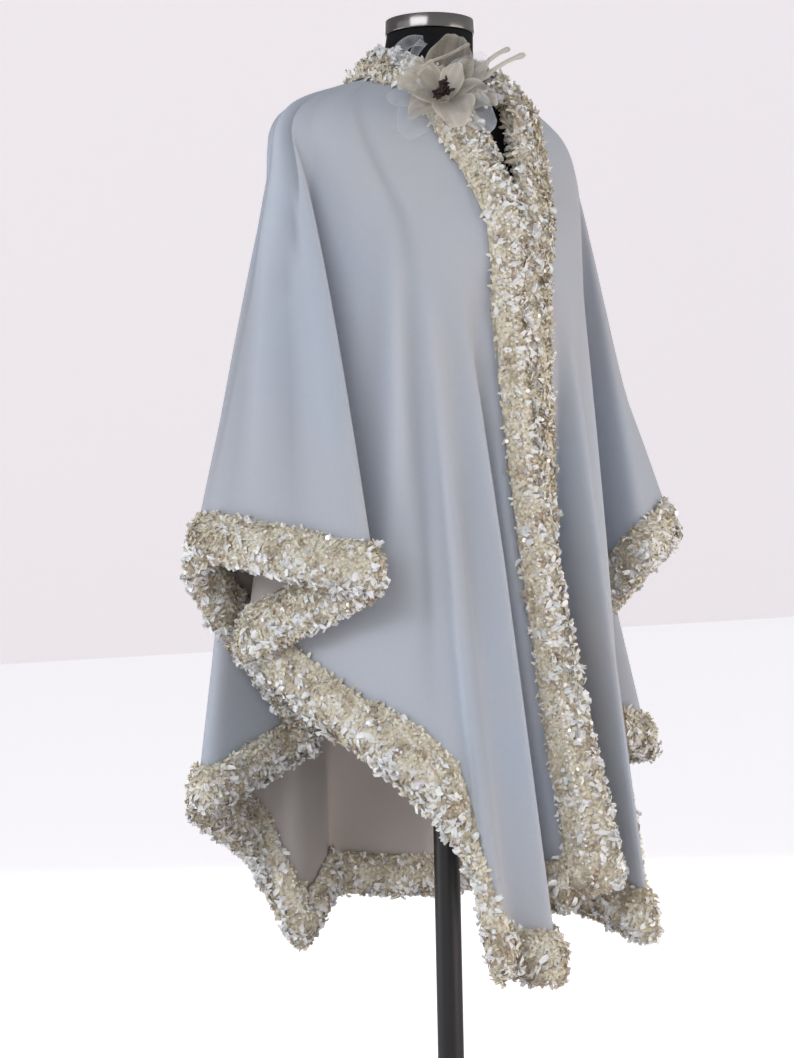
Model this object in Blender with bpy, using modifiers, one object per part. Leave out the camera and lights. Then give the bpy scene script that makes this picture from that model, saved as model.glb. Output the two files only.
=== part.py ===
"""A wide wool cape with ruffled trim, worn by a limbless dress form on its stand.

Metres, +Z up. The origin is the middle of the base's underside, on the form's own axis.
The front faces -Y and the wearer's right is -X. The cape is a rectangle of cloth, slit up
the front. Each of its creases is one row of FOLDS: where it starts at the neckline, where it
leaves the form, and where it meets the hem. All the cloth and its trim is read from those rows.
"""

import math

import bmesh
import bpy
import numpy as np
from mathutils import Matrix, Vector
from mathutils.bvhtree import BVHTree

OBJECT_NAME = "cape_on_dress_form"
MM = 0.001

# Cloth and trim
WALL = 0.0022               # thickness of the napped wool
SEAM_GAP = 0.0006           # between two pieces sewn edge to edge
SEAT_GAP = 0.0004           # between a piece and what it rests on
NECK_LIFT = 0.0080          # the neckline's distance from the form
FRONT_LIFT = 0.010          # how much more it stands off at the throat
FRONT_TURN = 60.0           # and the degrees from the front where that ends
CAPE_DROP = 0.0011          # lowers the cloth and its trim together until they lie on the form
HEM_WIDTH = 0.045           # of the ruffled trim along the hem, on each face
NECK_WIDTH = 0.050          # and round the neck
BAND_PROUD = 0.0115         # how far the trim stands off the cloth
BAND_THIN = 0.0009          # the least thickness it is pressed down to inside a fold
BAND_TIP = 0.45             # its thickness past the cloth's edge, as a share
BAND_SHARE = 0.82           # of the free room inside a fold that the trim may fill
BAND_PAST_EDGE = 0.008      # how far the ruffles reach past the cloth's edge
BAND_CLEAR = 0.0006         # between the cloth and the trim sewn on it
BAND_INSET = 0.0006         # from a trim's border to where it starts
FRONT_INSET = 0.0022        # the same for the front edges' trim, beside the neck's
NECK_CLEAR = 0.0012         # the same at the neck and down the front edges
BAND_RIPPLE = 0.0028        # height of the ruffles' bumps
BAND_RAGGED = 0.35          # how much the ruffles' reach varies, as a share
SWING_PACE = 0.37           # turns of the slow variation for each bump
SWING_START = 1.3           # and the angle in radians where it starts
NECK_PAST_EDGE = 0.0035     # how far they reach past the neckline
BAND_BUMP = 0.031           # from one bump to the next
BAND_REACH = 0.10           # the longest the trim may run down a slanting edge
BAND_SLANT = 0.3            # the least sine of the edge's slant that its width allows for
EDGE_SLANT = 0.4            # and the least that its wrap round the edge allows for
NECK_STEP = 0.0035          # the least spacing of the neck trim's sections at the neckline
NECK_SPREAD = 0.006         # unless they are this far apart at its border

# The form's sections. The body is a loft through them.
# name, height, half width, front y, back y
FORM = (
    ("neck_top", 1.482, 0.053, -0.053, 0.053),
    ("neck", 1.458, 0.055, -0.052, 0.060),
    ("neck_base", 1.438, 0.062, -0.058, 0.076),
    ("shoulder_neck", 1.412, 0.092, -0.068, 0.093),
    ("shoulder_mid", 1.391, 0.158, -0.078, 0.113),
    ("shoulder_end", 1.367, 0.200, -0.090, 0.126),
    ("shoulder_tip", 1.338, 0.212, -0.104, 0.134),
    ("cap", 1.300, 0.211, -0.120, 0.136),
    ("upper_chest", 1.262, 0.196, -0.136, 0.131),
    ("bust", 1.215, 0.172, -0.151, 0.121),
    ("under_bust", 1.150, 0.150, -0.126, 0.106),
    ("waist", 1.060, 0.130, -0.104, 0.087),
    ("high_hip", 0.970, 0.152, -0.113, 0.108),
    ("hip", 0.880, 0.172, -0.113, 0.124),
    ("bottom", 0.800, 0.166, -0.102, 0.120),
    ("bottom_edge", 0.788, 0.154, -0.090, 0.108),
)
FORM_SIDES = 28
SMOOTH_ANGLE = 40.0         # degrees; sharper edges of hard pieces stay sharp
RUFFLE_ANGLE = 60.0         # and the same for the trim
FINE_STATIONS = 6           # the neck and shoulders have a ring between each two stations

# Stand
CAP_RADIUS = 0.0555
CAP_EDGE = 0.002
CAP_SIDES = 32
CAP_BOTTOM = 1.4825
CAP_TOP = 1.500
POLE_RADIUS = 0.016
POLE_SIDES = 24
BASE_RADIUS = 0.175
BASE_HEIGHT = 0.022
BASE_EDGE = 0.008
BASE_SIDES = 48

# The creases, from the right front edge round the back to the left front edge. Angles are in
# degrees about the form, from the front through the wearer's right. Lift is in millimetres off
# the form where the cloth leaves it. Flare 1 falls straight to the hem, more hangs down first
# and then swings out, and less swings out first. Bend is the width in millimetres of a doubled
# edge at the hem, or 0 for a soft crease. Round is the share of the cloth on each side that the
# bend takes up.
# name, neck angle, neck z, break angle, break z, lift, hem x, hem y, hem z, flare, bend, round
FOLDS = (
    ("right_edge", 20, 1.405, 3.4, 1.170, 22, 0.015, -0.282, 0.470, 1.50, 0, 0.00),
    ("right_band", 52, 1.430, 18, 1.190, 16, -0.030, -0.237, 0.455, 1.45, 0, 0.18),
    ("right_tuck", 57, 1.433, 23, 1.200, 8, -0.038, -0.125, 0.430, 1.30, 22, 0.14),
    ("right_ridge", 61, 1.436, 28, 1.205, 13, -0.084, -0.287, 0.387, 0.95, 0, 0.25),
    ("right_hollow", 64, 1.438, 34, 1.210, 9, -0.118, -0.260, 0.392, 1.05, 0, 0.42),
    ("right_corner", 67, 1.440, 39, 1.215, 10, -0.153, -0.274, 0.403, 1.05, 14, 0.35),
    ("right_side_low", 70, 1.442, 45, 1.235, 10, -0.153, -0.238, 0.485, 1.05, 0, 0.42),
    ("right_side_mid", 73, 1.444, 52, 1.270, 8, -0.180, -0.195, 0.579, 1.05, 0, 0.45),
    ("right_side_top", 77, 1.446, 60, 1.305, 7, -0.230, -0.062, 0.667, 1.00, 0, 0.42),
    ("right_under", 82, 1.448, 70, 1.322, 4, -0.275, 0.026, 0.740, 0.95, 24, 0.14),
    ("right_wing_fold", 88, 1.450, 81, 1.342, 13, -0.240, -0.172, 0.820, 0.74, 26, 0.12),
    ("right_wing", 98, 1.452, 102, 1.326, 8, -0.346, 0.029, 0.845, 0.98, 0, 0.30),
    ("right_inner", 105, 1.453, 108, 1.320, 6, -0.127, 0.105, 0.613, 1.00, 24, 0.12),
    ("right_cascade", 111, 1.453, 113, 1.315, 9, -0.287, 0.110, 0.558, 1.00, 24, 0.13),
    ("right_back_fold", 116, 1.454, 119, 1.312, 8, -0.158, 0.178, 0.472, 1.10, 0, 0.32),
    ("right_back_lap", 121, 1.454, 127, 1.310, 9, -0.110, 0.154, 0.378, 1.20, 0, 0.38),
    ("back_valley_1", 138, 1.455, 148, 1.300, 10, -0.038, 0.190, 0.425, 1.25, 0, 0.42),
    ("back_ridge_1", 165, 1.455, 180, 1.290, 10, 0.046, 0.290, 0.405, 1.25, 0, 0.42),
    ("back_valley_2", 192, 1.455, 206, 1.295, 10, 0.146, 0.200, 0.400, 1.25, 0, 0.42),
    ("back_ridge_2", 208, 1.455, 218, 1.300, 9, 0.190, 0.278, 0.392, 1.20, 0, 0.42),
    ("left_back_lap", 222, 1.455, 230, 1.305, 8, 0.262, 0.205, 0.405, 1.20, 0, 0.42),
    ("left_back_fold", 236, 1.454, 239, 1.310, 8, 0.215, 0.155, 0.490, 1.10, 0, 0.34),
    ("left_cascade", 245, 1.453, 246, 1.315, 9, 0.365, 0.010, 0.580, 1.00, 24, 0.13),
    ("left_inner", 252, 1.453, 252, 1.320, 6, 0.190, 0.100, 0.640, 1.00, 24, 0.12),
    ("left_wing", 261, 1.452, 258, 1.326, 8, 0.338, -0.058, 0.857, 0.98, 0, 0.30),
    ("left_wing_fold", 271, 1.450, 279, 1.342, 13, 0.250, -0.105, 0.830, 0.74, 0, 0.30),
    ("left_under", 278, 1.448, 290, 1.322, 4, 0.240, 0.000, 0.755, 0.95, 22, 0.20),
    ("left_side_top", 283, 1.446, 300, 1.305, 7, 0.210, -0.040, 0.660, 1.00, 0, 0.42),
    ("left_side_mid", 287, 1.444, 308, 1.270, 8, 0.192, -0.090, 0.550, 1.05, 0, 0.45),
    ("left_side_low", 290, 1.442, 315, 1.235, 10, 0.184, -0.128, 0.470, 1.05, 0, 0.42),
    ("left_corner", 293, 1.440, 320, 1.215, 12, 0.165, -0.158, 0.420, 1.10, 12, 0.35),
    ("left_hollow", 296, 1.438, 326, 1.210, 10, 0.118, -0.195, 0.405, 1.10, 0, 0.42),
    ("left_ridge", 299, 1.436, 332, 1.205, 13, 0.073, -0.272, 0.410, 1.10, 0, 0.30),
    ("left_tuck", 303, 1.433, 337, 1.200, 7, 0.055, -0.115, 0.440, 1.40, 22, 0.16),
    ("left_band", 314, 1.430, 342, 1.190, 14, 0.034, -0.175, 0.450, 1.50, 0, 0.18),
    ("left_edge", 340, 1.405, 356.6, 1.170, 14, 0.002, -0.214, 0.455, 1.50, 0, 0.00),
)
BEND_TURN = 0.7             # degrees on the form between a doubled edge and its middle
SEAM_PAST_WING = 0.42       # where front and back join, in creases past the wing's own
SEAM_STRIP = 0.12           # and the width of the strip beside that seam
BAND_LINE = 0.82            # where the front edges' trim ends, in creases from the edge
CRISP_STEPS = 3             # lines round a crisp crease or half of a doubled edge
SOFT_STEPS = 2              # and round a soft one
SOFT_ROUND = 0.41           # a crease this round is a soft one
LEAST_STRIP = 0.03          # two lines closer than this become one

# Rings down the cloth, counted from the neckline
NECK_RINGS = 2              # across the neck's trim
SHOULDER_RINGS = 4          # from that trim to where the cloth leaves the form
DROP_RINGS = 4              # from there to the hem's trim
DENSE_TOP = 40
DENSE_DROP = 60
SOFTENING = 10              # passes that round the cloth where it leaves the form

# Points that stand for the surfaces round the trim when its room is measured
CLOUD_SHARES = (0.0, 0.25, 0.5, 0.75)
CLOUD_TURNS = 180
CLOUD_PLACES = 80
CLOUD_END = 12              # the row of FORM where they stop

# Flower of organza at the neck
FLOWER_CENTRE = (-0.068, -0.105, 1.398)
FLOWER_FACES = (-0.52, -0.80, 0.30)
FLOWER_WALL = 0.0022
PETALS_START = 0.06         # how far out the petals are before they are seated
TOP_START = 0.09            # and what lies on the petals
PETAL_WAIST = 0.72          # a layer's radius between two petals, as a share
PETAL_FULLNESS = 0.6        # below 1 the petals are broader
PETAL_CUP = 1.6             # above 1 the petals rise mostly near their rims
PETAL_STEPS = 8             # points round each petal
PETAL_SHARES = (0.0, 0.35, 0.7, 1.0)
RIBBON_STEPS = 5
RIBBON_BOW = 0.008
RIBBON_WALL = 0.0015
STAMEN_RADIUS = 0.008
STAMEN_SIDES = 16
# name, radius, least radius, petals, depth, ripple, ripples round it, their lag, turn in degrees
FLOWER_LAYERS = (
    ("flower_outer_petals", 0.062, 0.005, 5, 0.012, 0.010, 10, 0, 20),
    ("flower_inner_petals", 0.043, 0.004, 4, 0.024, 0.008, 6, 2, 65),
)
# name, start across, start up, end across, end up, width
RIBBONS = (
    ("ribbon_end_upper", 0.040, 0.016, 0.080, 0.046, 0.005),
    ("ribbon_end_lower", 0.042, 0.002, 0.097, 0.036, 0.005),
)

# Colours: base colour, roughness, metallic
FINISHES = {
    "wool": ((0.58, 0.60, 0.63), 0.9, 0.0),
    "ruffle": ((0.80, 0.76, 0.64), 0.75, 0.0),
    "organza": ((0.62, 0.57, 0.47), 0.6, 0.0),
    "stamens": ((0.09, 0.02, 0.03), 0.4, 0.0),
    "ribbon": ((0.72, 0.67, 0.55), 0.6, 0.0),
    "black_jersey": ((0.012, 0.012, 0.014), 0.75, 0.0),
    "chrome": ((0.75, 0.76, 0.78), 0.15, 1.0),
    "black_paint": ((0.015, 0.015, 0.016), 0.4, 0.0),
}


# Scene and meshes


def clear_scene():
    for item in list(bpy.data.objects):
        bpy.data.objects.remove(item, do_unlink=True)


def finish(name):
    """The material of that name, made once."""
    material = bpy.data.materials.get(name)
    if material:
        return material
    colour, roughness, metallic = FINISHES[name]
    material = bpy.data.materials.new(name)
    material.use_nodes = True
    shader = material.node_tree.nodes["Principled BSDF"]
    shader.inputs["Base Color"].default_value = (*colour, 1.0)
    shader.inputs["Roughness"].default_value = roughness
    shader.inputs["Metallic"].default_value = metallic
    material.diffuse_color = (*colour, 1.0)
    return material


def new_object(name, mesh, finish_name, home):
    piece = bpy.data.objects.new(name, mesh)
    material = finish(finish_name).copy()
    material.name = f"{name}_{finish_name}"
    piece.data.materials.append(material)
    home.objects.link(piece)
    return piece


def loft_mesh(name, rings, closed, flipped=()):
    """Triangles between rings of equal length, capped at both ends where the rings are closed.

    Strips listed in flipped take the other diagonal, so that they lie on cloth cut the same way.
    """
    rings = np.asarray(rings, dtype=float)
    count, length = rings.shape[:2]
    strips = length if closed else length - 1
    faces = []
    for ring in range(count - 1):
        for strip in range(strips):
            near = strip
            far = (strip + 1) % length
            a, b = ring * length + near, (ring + 1) * length + near
            c, d = (ring + 1) * length + far, ring * length + far
            if strip in flipped:
                faces += [(a, b, d), (b, c, d)]
            else:
                faces += [(a, b, c), (a, c, d)]
    if closed:
        faces.append(tuple(reversed(range(length))))
        faces.append(tuple(range((count - 1) * length, count * length)))
    mesh = bpy.data.meshes.new(name)
    mesh.from_pydata([tuple(point) for point in rings.reshape(-1, 3)], [], faces)
    mesh.update()
    if closed:
        face_outwards(mesh)
    return mesh


def face_outwards(mesh):
    work = bmesh.new()
    work.from_mesh(mesh)
    bmesh.ops.recalc_face_normals(work, faces=work.faces)
    work.to_mesh(mesh)
    work.free()
    mesh.update()


def smooth_shade(mesh, angle=SMOOTH_ANGLE):
    mesh.shade_smooth()
    mesh.set_sharp_from_angle(angle=math.radians(angle))


def unit(vectors):
    return vectors / np.maximum(np.linalg.norm(vectors, axis=-1, keepdims=True), 1e-9)


# The dress form


def eased(rows, place):
    """The rows read between whole numbers, on a curve that stays within its neighbours."""
    rows = np.asarray(rows, dtype=float)
    steps = np.diff(rows, axis=0)
    slopes = np.zeros_like(rows)
    before, after = steps[:-1], steps[1:]
    agree = before * after > 0
    total = np.where(agree, before + after, 1.0)
    slopes[1:-1] = np.where(agree, 2 * before * after / total, 0.0)
    slopes[0], slopes[-1] = steps[0], steps[-1]
    place = np.clip(np.atleast_1d(place), 0, len(rows) - 1)
    low = np.minimum(place.astype(int), len(rows) - 2)
    t = (place - low)[:, None]
    start, end = rows[low], rows[low + 1]
    hermite = (2 * t**3 - 3 * t**2 + 1) * start + (3 * t**2 - 2 * t**3) * end
    return hermite + (t**3 - 2 * t**2 + t) * slopes[low] + (t**3 - t**2) * slopes[low + 1]


FORM_ROWS = np.array([[z, wide, front, back] for _, z, wide, front, back in FORM])


def place_of_height(z):
    """The place along FORM's rows where the form has this height."""
    places = np.linspace(0, len(FORM) - 1, 400)
    heights = eased(FORM_ROWS, places)[:, 0]
    return np.interp(-np.asarray(z, dtype=float), -heights, places)


def on_form(angle, place):
    z, wide, front, back = eased(FORM_ROWS, place).T
    x = -wide * np.sin(angle)
    y = (front + back) / 2 - (back - front) / 2 * np.cos(angle)
    return np.stack([x, y, z], axis=-1)


def off_form(angle, place, lift):
    """Points at a distance from the form's surface."""
    nudge = 1e-3
    here = on_form(angle, place)
    across = on_form(angle + nudge, place) - on_form(angle - nudge, place)
    down = on_form(angle, place + nudge) - on_form(angle, place - nudge)
    outward = unit(np.cross(across, down))
    return here + outward * np.asarray(lift)[:, None]


def form_rings():
    places = np.concatenate([np.arange(0, FINE_STATIONS, 0.5), np.arange(FINE_STATIONS, len(FORM))])
    angles = np.linspace(0, 2 * math.pi, FORM_SIDES, endpoint=False)
    return [on_form(angles, np.full(FORM_SIDES, place)) for place in places]


def make_form(home):
    mesh = loft_mesh("form_torso", form_rings(), closed=True)
    smooth_shade(mesh)
    new_object("form_torso", mesh, "black_jersey", home)

    height = CAP_TOP - CAP_BOTTOM
    bpy.ops.mesh.primitive_cylinder_add(vertices=CAP_SIDES, radius=CAP_RADIUS, depth=height)
    cap = bpy.context.object
    cap.name = cap.data.name = "form_neck_cap"
    cap.location.z = (CAP_TOP + CAP_BOTTOM) / 2
    settle_primitive(cap, "chrome", home, bevel=CAP_EDGE)

    pole_bottom = BASE_HEIGHT + SEAM_GAP
    pole_top = FORM[-1][1] - SEAM_GAP
    height = pole_top - pole_bottom
    bpy.ops.mesh.primitive_cylinder_add(vertices=POLE_SIDES, radius=POLE_RADIUS, depth=height)
    pole = bpy.context.object
    pole.name = pole.data.name = "form_pole"
    pole.location.z = (pole_top + pole_bottom) / 2
    settle_primitive(pole, "black_paint", home)

    bpy.ops.mesh.primitive_cylinder_add(vertices=BASE_SIDES, radius=BASE_RADIUS,
                                        depth=BASE_HEIGHT)
    base = bpy.context.object
    base.name = base.data.name = "form_base"
    base.location.z = BASE_HEIGHT / 2
    settle_primitive(base, "black_paint", home, bevel=BASE_EDGE, top_only=True)


def settle_primitive(piece, finish_name, home, bevel=0.0, top_only=False):
    """Moves a new primitive into the collection, with its finish and its rounded edges."""
    for collection in list(piece.users_collection):
        collection.objects.unlink(piece)
    home.objects.link(piece)
    material = finish(finish_name).copy()
    material.name = f"{piece.name}_{finish_name}"
    piece.data.materials.append(material)
    if bevel:
        work = bmesh.new()
        work.from_mesh(piece.data)
        rims = [edge for edge in work.edges if len(edge.link_faces) == 2]
        rims = [edge for edge in rims if edge.calc_face_angle() > 1.0]
        if top_only:
            rims = [edge for edge in rims if all(vert.co.z > 0 for vert in edge.verts)]
        bmesh.ops.bevel(work, geom=rims, offset=bevel, segments=2, profile=0.5, affect="EDGES",
                        material=-1)
        work.to_mesh(piece.data)
        work.free()
    smooth_shade(piece.data)


# The cloth


def sides_of_bend(number, bend):
    """Half the bend's width at the hem, from its middle towards the crease before it."""
    hems = [np.array(row[6:8]) for row in FOLDS[number - 1:number + 2]]
    before, after = unit(hems[0] - hems[1]), unit(hems[2] - hems[1])
    middle = unit(before + after)
    side = np.array((-middle[1], middle[0]))
    if side @ (before - after) < 0:
        side = -side
    return side * bend / 2 * MM


def crease_table():
    """FOLDS as rows of numbers, with each doubled edge as two rows, and each crease's place."""
    rows, before, after, places = [], [], [], {}
    for number, (name, *values) in enumerate(FOLDS):
        *values, bend, reach = values
        if not bend:
            places[name] = float(len(rows))
            rows.append(values)
            before.append(reach)
            after.append(reach)
            continue
        places[name] = len(rows) + 0.5
        side = sides_of_bend(number, bend)
        for sign, reaches in ((1, (reach, 0.5)), (-1, (0.5, reach))):
            half = list(values)
            half[0] -= sign * BEND_TURN
            half[2] -= sign * BEND_TURN
            half[5] += sign * side[0]
            half[6] += sign * side[1]
            rows.append(half)
            before.append(reaches[0])
            after.append(reaches[1])
    return np.array(rows, dtype=float), np.array(before), np.array(after), places


def through_points(rows, before, after):
    """Control rows whose soft corners pass through the given rows."""
    matrix = np.eye(len(rows))
    for i in range(1, len(rows) - 1):
        if before[i] == after[i]:
            matrix[i, i] = 1 - before[i] / 2
            matrix[i, i - 1] = matrix[i, i + 1] = before[i] / 4
    return np.linalg.solve(matrix, rows)


def crease_weights(place, before, after):
    """How much of each control row a line at this place takes."""
    weights = np.zeros(len(before))
    nearest = int(place + 0.5)
    start, end = nearest - before[nearest], nearest + after[nearest]
    if start < place < end:
        t = (place - start) / (end - start)
        first, second = (1 - t) ** 2, t**2
        weights[nearest] += first * (1 - before[nearest]) + 2 * t * (1 - t)
        weights[nearest] += second * (1 - after[nearest])
        weights[nearest - 1] += first * before[nearest]
        weights[nearest + 1] += second * after[nearest]
        return weights
    low = min(int(place), len(before) - 2)
    weights[low] = 1 - (place - low)
    weights[low + 1] = place - low
    return weights


def line_places(before, after, seams):
    """Where the cloth's lines run, counted in rows of the crease table."""
    last = float(len(before) - 1)
    beside = (seams[0] + SEAM_STRIP, seams[1] - SEAM_STRIP)
    fixed = (0.0, BAND_LINE, last - BAND_LINE, last, *seams, *beside)
    places = list(fixed)
    for number in range(1, len(before) - 1):
        start, end = number - before[number], number + after[number]
        steps = SOFT_STEPS if before[number] == after[number] > SOFT_ROUND else CRISP_STEPS
        places += list(np.linspace(start, end, steps + 1))
    places = sorted(places)
    kept = [places[0]]
    for place in places[1:]:
        if place - kept[-1] > LEAST_STRIP:
            kept.append(place)
        elif place in fixed:
            kept[-1] = place
    return kept


def cloth_lines(places, rows, before, after):
    """One row of the crease table's numbers for each line of the cloth."""
    control = through_points(rows, before, after)
    weights = np.array([crease_weights(place, before, after) for place in places])
    return weights @ control


def dense_line(row):
    """Closely spaced points down one line of the cloth, and the number at its break."""
    neck_angle, neck_z, break_angle, break_z, lift, hem_x, hem_y, hem_z, flare = row
    along = np.linspace(0, 1, DENSE_TOP + 1)
    start, leave = place_of_height([neck_z, break_z])
    angle = np.radians(neck_angle + (break_angle - neck_angle) * (1 - (1 - along) ** 2))
    from_front = min(neck_angle, 360 - neck_angle)
    neck_lift = NECK_LIFT + FRONT_LIFT * max(0.0, 1 - from_front / FRONT_TURN)
    lifts = neck_lift + (lift * MM - neck_lift) * along
    top = off_form(angle, start + (leave - start) * along, lifts)
    down = np.linspace(0, 1, DENSE_DROP + 1)[1:]
    spread = down ** flare
    hem = np.array([hem_x, hem_y, hem_z])
    share = np.stack([spread, spread, down], axis=-1)
    drop = top[-1] + (hem - top[-1]) * share
    line = np.vstack([top, drop])
    for _ in range(SOFTENING):
        line[1:-1] = (line[:-2] + 2 * line[1:-1] + line[2:]) / 4
    return line


def measured_along(line):
    return np.concatenate([[0], np.cumsum(np.linalg.norm(np.diff(line, axis=0), axis=1))])


def read_along(line, lengths, wanted):
    return np.stack([np.interp(wanted, lengths, line[:, axis]) for axis in range(3)], axis=-1)


def trim_reach(lines, end, width):
    """How far the trim runs along each line, so that it has this width across its edge."""
    edge = np.array([line[end] for line in lines])
    inner = np.array([line[end + 4 if end == 0 else end - 4] for line in lines])
    run = np.gradient(edge, axis=0)
    run = unit(run)
    fall = unit(edge - inner)
    slant = np.linalg.norm(np.cross(run, fall), axis=1)
    reach = np.minimum(width / np.maximum(slant, BAND_SLANT), BAND_REACH)
    for _ in range(3):
        reach[1:-1] = (reach[:-2] + 2 * reach[1:-1] + reach[2:]) / 4
    return reach


def cloth_grid(line_rows):
    """Points of the cloth's middle surface: lines by rings."""
    lines = [dense_line(row) for row in line_rows]
    neck_reach = trim_reach(lines, 0, NECK_WIDTH)
    hem_reach = trim_reach(lines, -1, HEM_WIDTH)
    grid = []
    for line, top, bottom in zip(lines, neck_reach, hem_reach):
        lengths = measured_along(line)
        leave = lengths[DENSE_TOP]
        whole = lengths[-1]
        stops = list(np.linspace(0, top, NECK_RINGS + 1))
        stops += list(np.linspace(top, leave, SHOULDER_RINGS + 1)[1:])
        stops += list(np.linspace(leave, whole - bottom, DROP_RINGS + 1)[1:])
        stops.append(whole)
        grid.append(read_along(line, lengths, stops))
    return np.array(grid) - (0.0, 0.0, CAPE_DROP)


def plan_cloth():
    """The cloth's points and normals, the place of each of its lines, and the two seams."""
    rows, before, after, named = crease_table()
    seams = (named["right_wing"] + SEAM_PAST_WING, named["left_wing"] - SEAM_PAST_WING)
    places = line_places(before, after, seams)
    grid = cloth_grid(cloth_lines(places, rows, before, after))
    return grid, grid_normals(grid), places, seams


def parted(panel):
    """The panel's outer lines drawn in by half a seam's gap."""
    panel = panel.copy()
    panel[0] += unit(panel[1] - panel[0]) * SEAM_GAP / 2
    panel[-1] += unit(panel[-2] - panel[-1]) * SEAM_GAP / 2
    return panel


def grid_normals(panel):
    """The vertex normals that Solidify offsets along."""
    mesh = loft_mesh("normals", panel, closed=False)
    normals = np.array([vertex.normal[:] for vertex in mesh.vertices])
    bpy.data.meshes.remove(mesh)
    return normals.reshape(panel.shape)


def make_panel(name, panel, home):
    mesh = loft_mesh(name, panel, closed=False)
    mesh.shade_smooth()
    piece = new_object(name, mesh, "wool", home)
    wall = piece.modifiers.new("Wall", "SOLIDIFY")
    wall.thickness = WALL
    wall.offset = 0.0
    return piece


# The trim


def cloud_of(grid):
    """Points all over the cloth, closer together than its lines are."""
    rows = [grid[:, ring] for ring in range(grid.shape[1])]
    rows += [(grid[:, ring] + grid[:, ring + 1]) / 2 for ring in range(grid.shape[1] - 1)]
    tips = grid[:, -1] + unit(grid[:, -1] - grid[:, -2]) * BAND_PAST_EDGE
    rows = np.array(rows + [tips])
    filled = [rows[:, :-1] * (1 - share) + rows[:, 1:] * share for share in CLOUD_SHARES]
    return np.concatenate(filled, axis=1).reshape(-1, 3)


def form_cloud():
    turns = np.linspace(0, 2 * math.pi, CLOUD_TURNS)
    angles, places = np.meshgrid(turns, np.linspace(0, CLOUD_END, CLOUD_PLACES))
    return on_form(angles.ravel(), places.ravel())


def free_room(points, sides, cloud):
    """Radius of the largest ball on this side of each point that holds no point of the cloud."""
    rooms = []
    for point, side in zip(points, sides):
        way = cloud - point
        ahead = way @ side
        distance = np.einsum("ij,ij->i", way, way)
        facing = (ahead > 1e-5) & (distance > 1e-8)
        rooms.append(np.min(distance[facing] / (2 * ahead[facing])) if facing.any() else 1.0)
    return np.array(rooms)


def band_heights(rows, ups, cloud, ripple, clear):
    """The trim's thickness on one face, pressed thinner where a fold leaves less room."""
    middles = (rows[:, 0] + rows[:, -1]) / 2
    rooms = [free_room(rows[:, j], ups[:, j], cloud) for j in range(rows.shape[1])]
    rooms.append(free_room(middles, unit(ups[:, 0] + ups[:, -1]), cloud))
    room = np.min(rooms, axis=0)
    room[1:-1] = np.minimum(room[1:-1], (room[:-2] + room[2:]) / 2)
    heights = np.minimum(BAND_PROUD + ripple, BAND_SHARE * room) - clear
    return np.maximum(heights, BAND_THIN)


def band_sections(rows, ups, cloud, inset=BAND_INSET, spare=BAND_CLEAR, past=BAND_PAST_EDGE):
    """U shaped sections of trim, round the cloth's edge and up both of its faces.

    Rows run from the trim's border to the cloth's edge. An inset ends the trim short of its
    border, where another band begins.
    """
    edges, borders = rows[:, -1], rows[:, 0]
    run = measured_along(edges)
    turns = run / BAND_BUMP * 2 * math.pi
    wave, swing = np.sin(turns), np.sin(SWING_PACE * turns + SWING_START)
    clear = WALL / 2 + spare
    over = band_heights(rows, ups, cloud, BAND_RIPPLE * wave, clear)
    under = band_heights(rows, -ups, cloud, BAND_RIPPLE * swing, clear)
    sections = []
    for number in range(len(edges)):
        edge, border = edges[number], borders[number]
        edge_up, border_up = ups[number, -1], ups[number, 0]
        middle, middle_up = (edge + border) / 2, unit(edge_up + border_up)
        if rows.shape[1] > 2:
            middle, middle_up = rows[number, 1], ups[number, 1]
        away = unit(edge - border)
        before, after = edges[max(number - 1, 0)], edges[min(number + 1, len(edges) - 1)]
        slants = [np.linalg.norm(np.cross(unit(edge - other), away)) for other in (before, after)]
        slant = max(min(value for value in slants if value), EDGE_SLANT)
        tip = edge + away * past * (1 + BAND_RAGGED * swing[number]) / slant
        inner = rows[number].copy()
        inner[-1] += away * clear / slant
        inner[0] += away * inset
        outer_border = border + away * inset
        top, bottom = over[number], under[number]
        section = list(inner + ups[number] * clear)
        section += list((inner - ups[number] * clear)[::-1])
        section += [
            outer_border - border_up * (clear + BAND_TIP * bottom),
            middle - middle_up * (clear + bottom),
            tip - edge_up * (clear + BAND_TIP * bottom),
            tip + edge_up * (clear + BAND_TIP * top),
            middle + middle_up * (clear + top),
            outer_border + border_up * (clear + BAND_TIP * top),
        ]
        sections.append(section)
    return parted(np.array(sections))


def make_band(name, sections, flipped, home):
    mesh = loft_mesh(name, sections, closed=True, flipped=flipped)
    smooth_shade(mesh, RUFFLE_ANGLE)
    return new_object(name, mesh, "ruffle", home)


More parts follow.
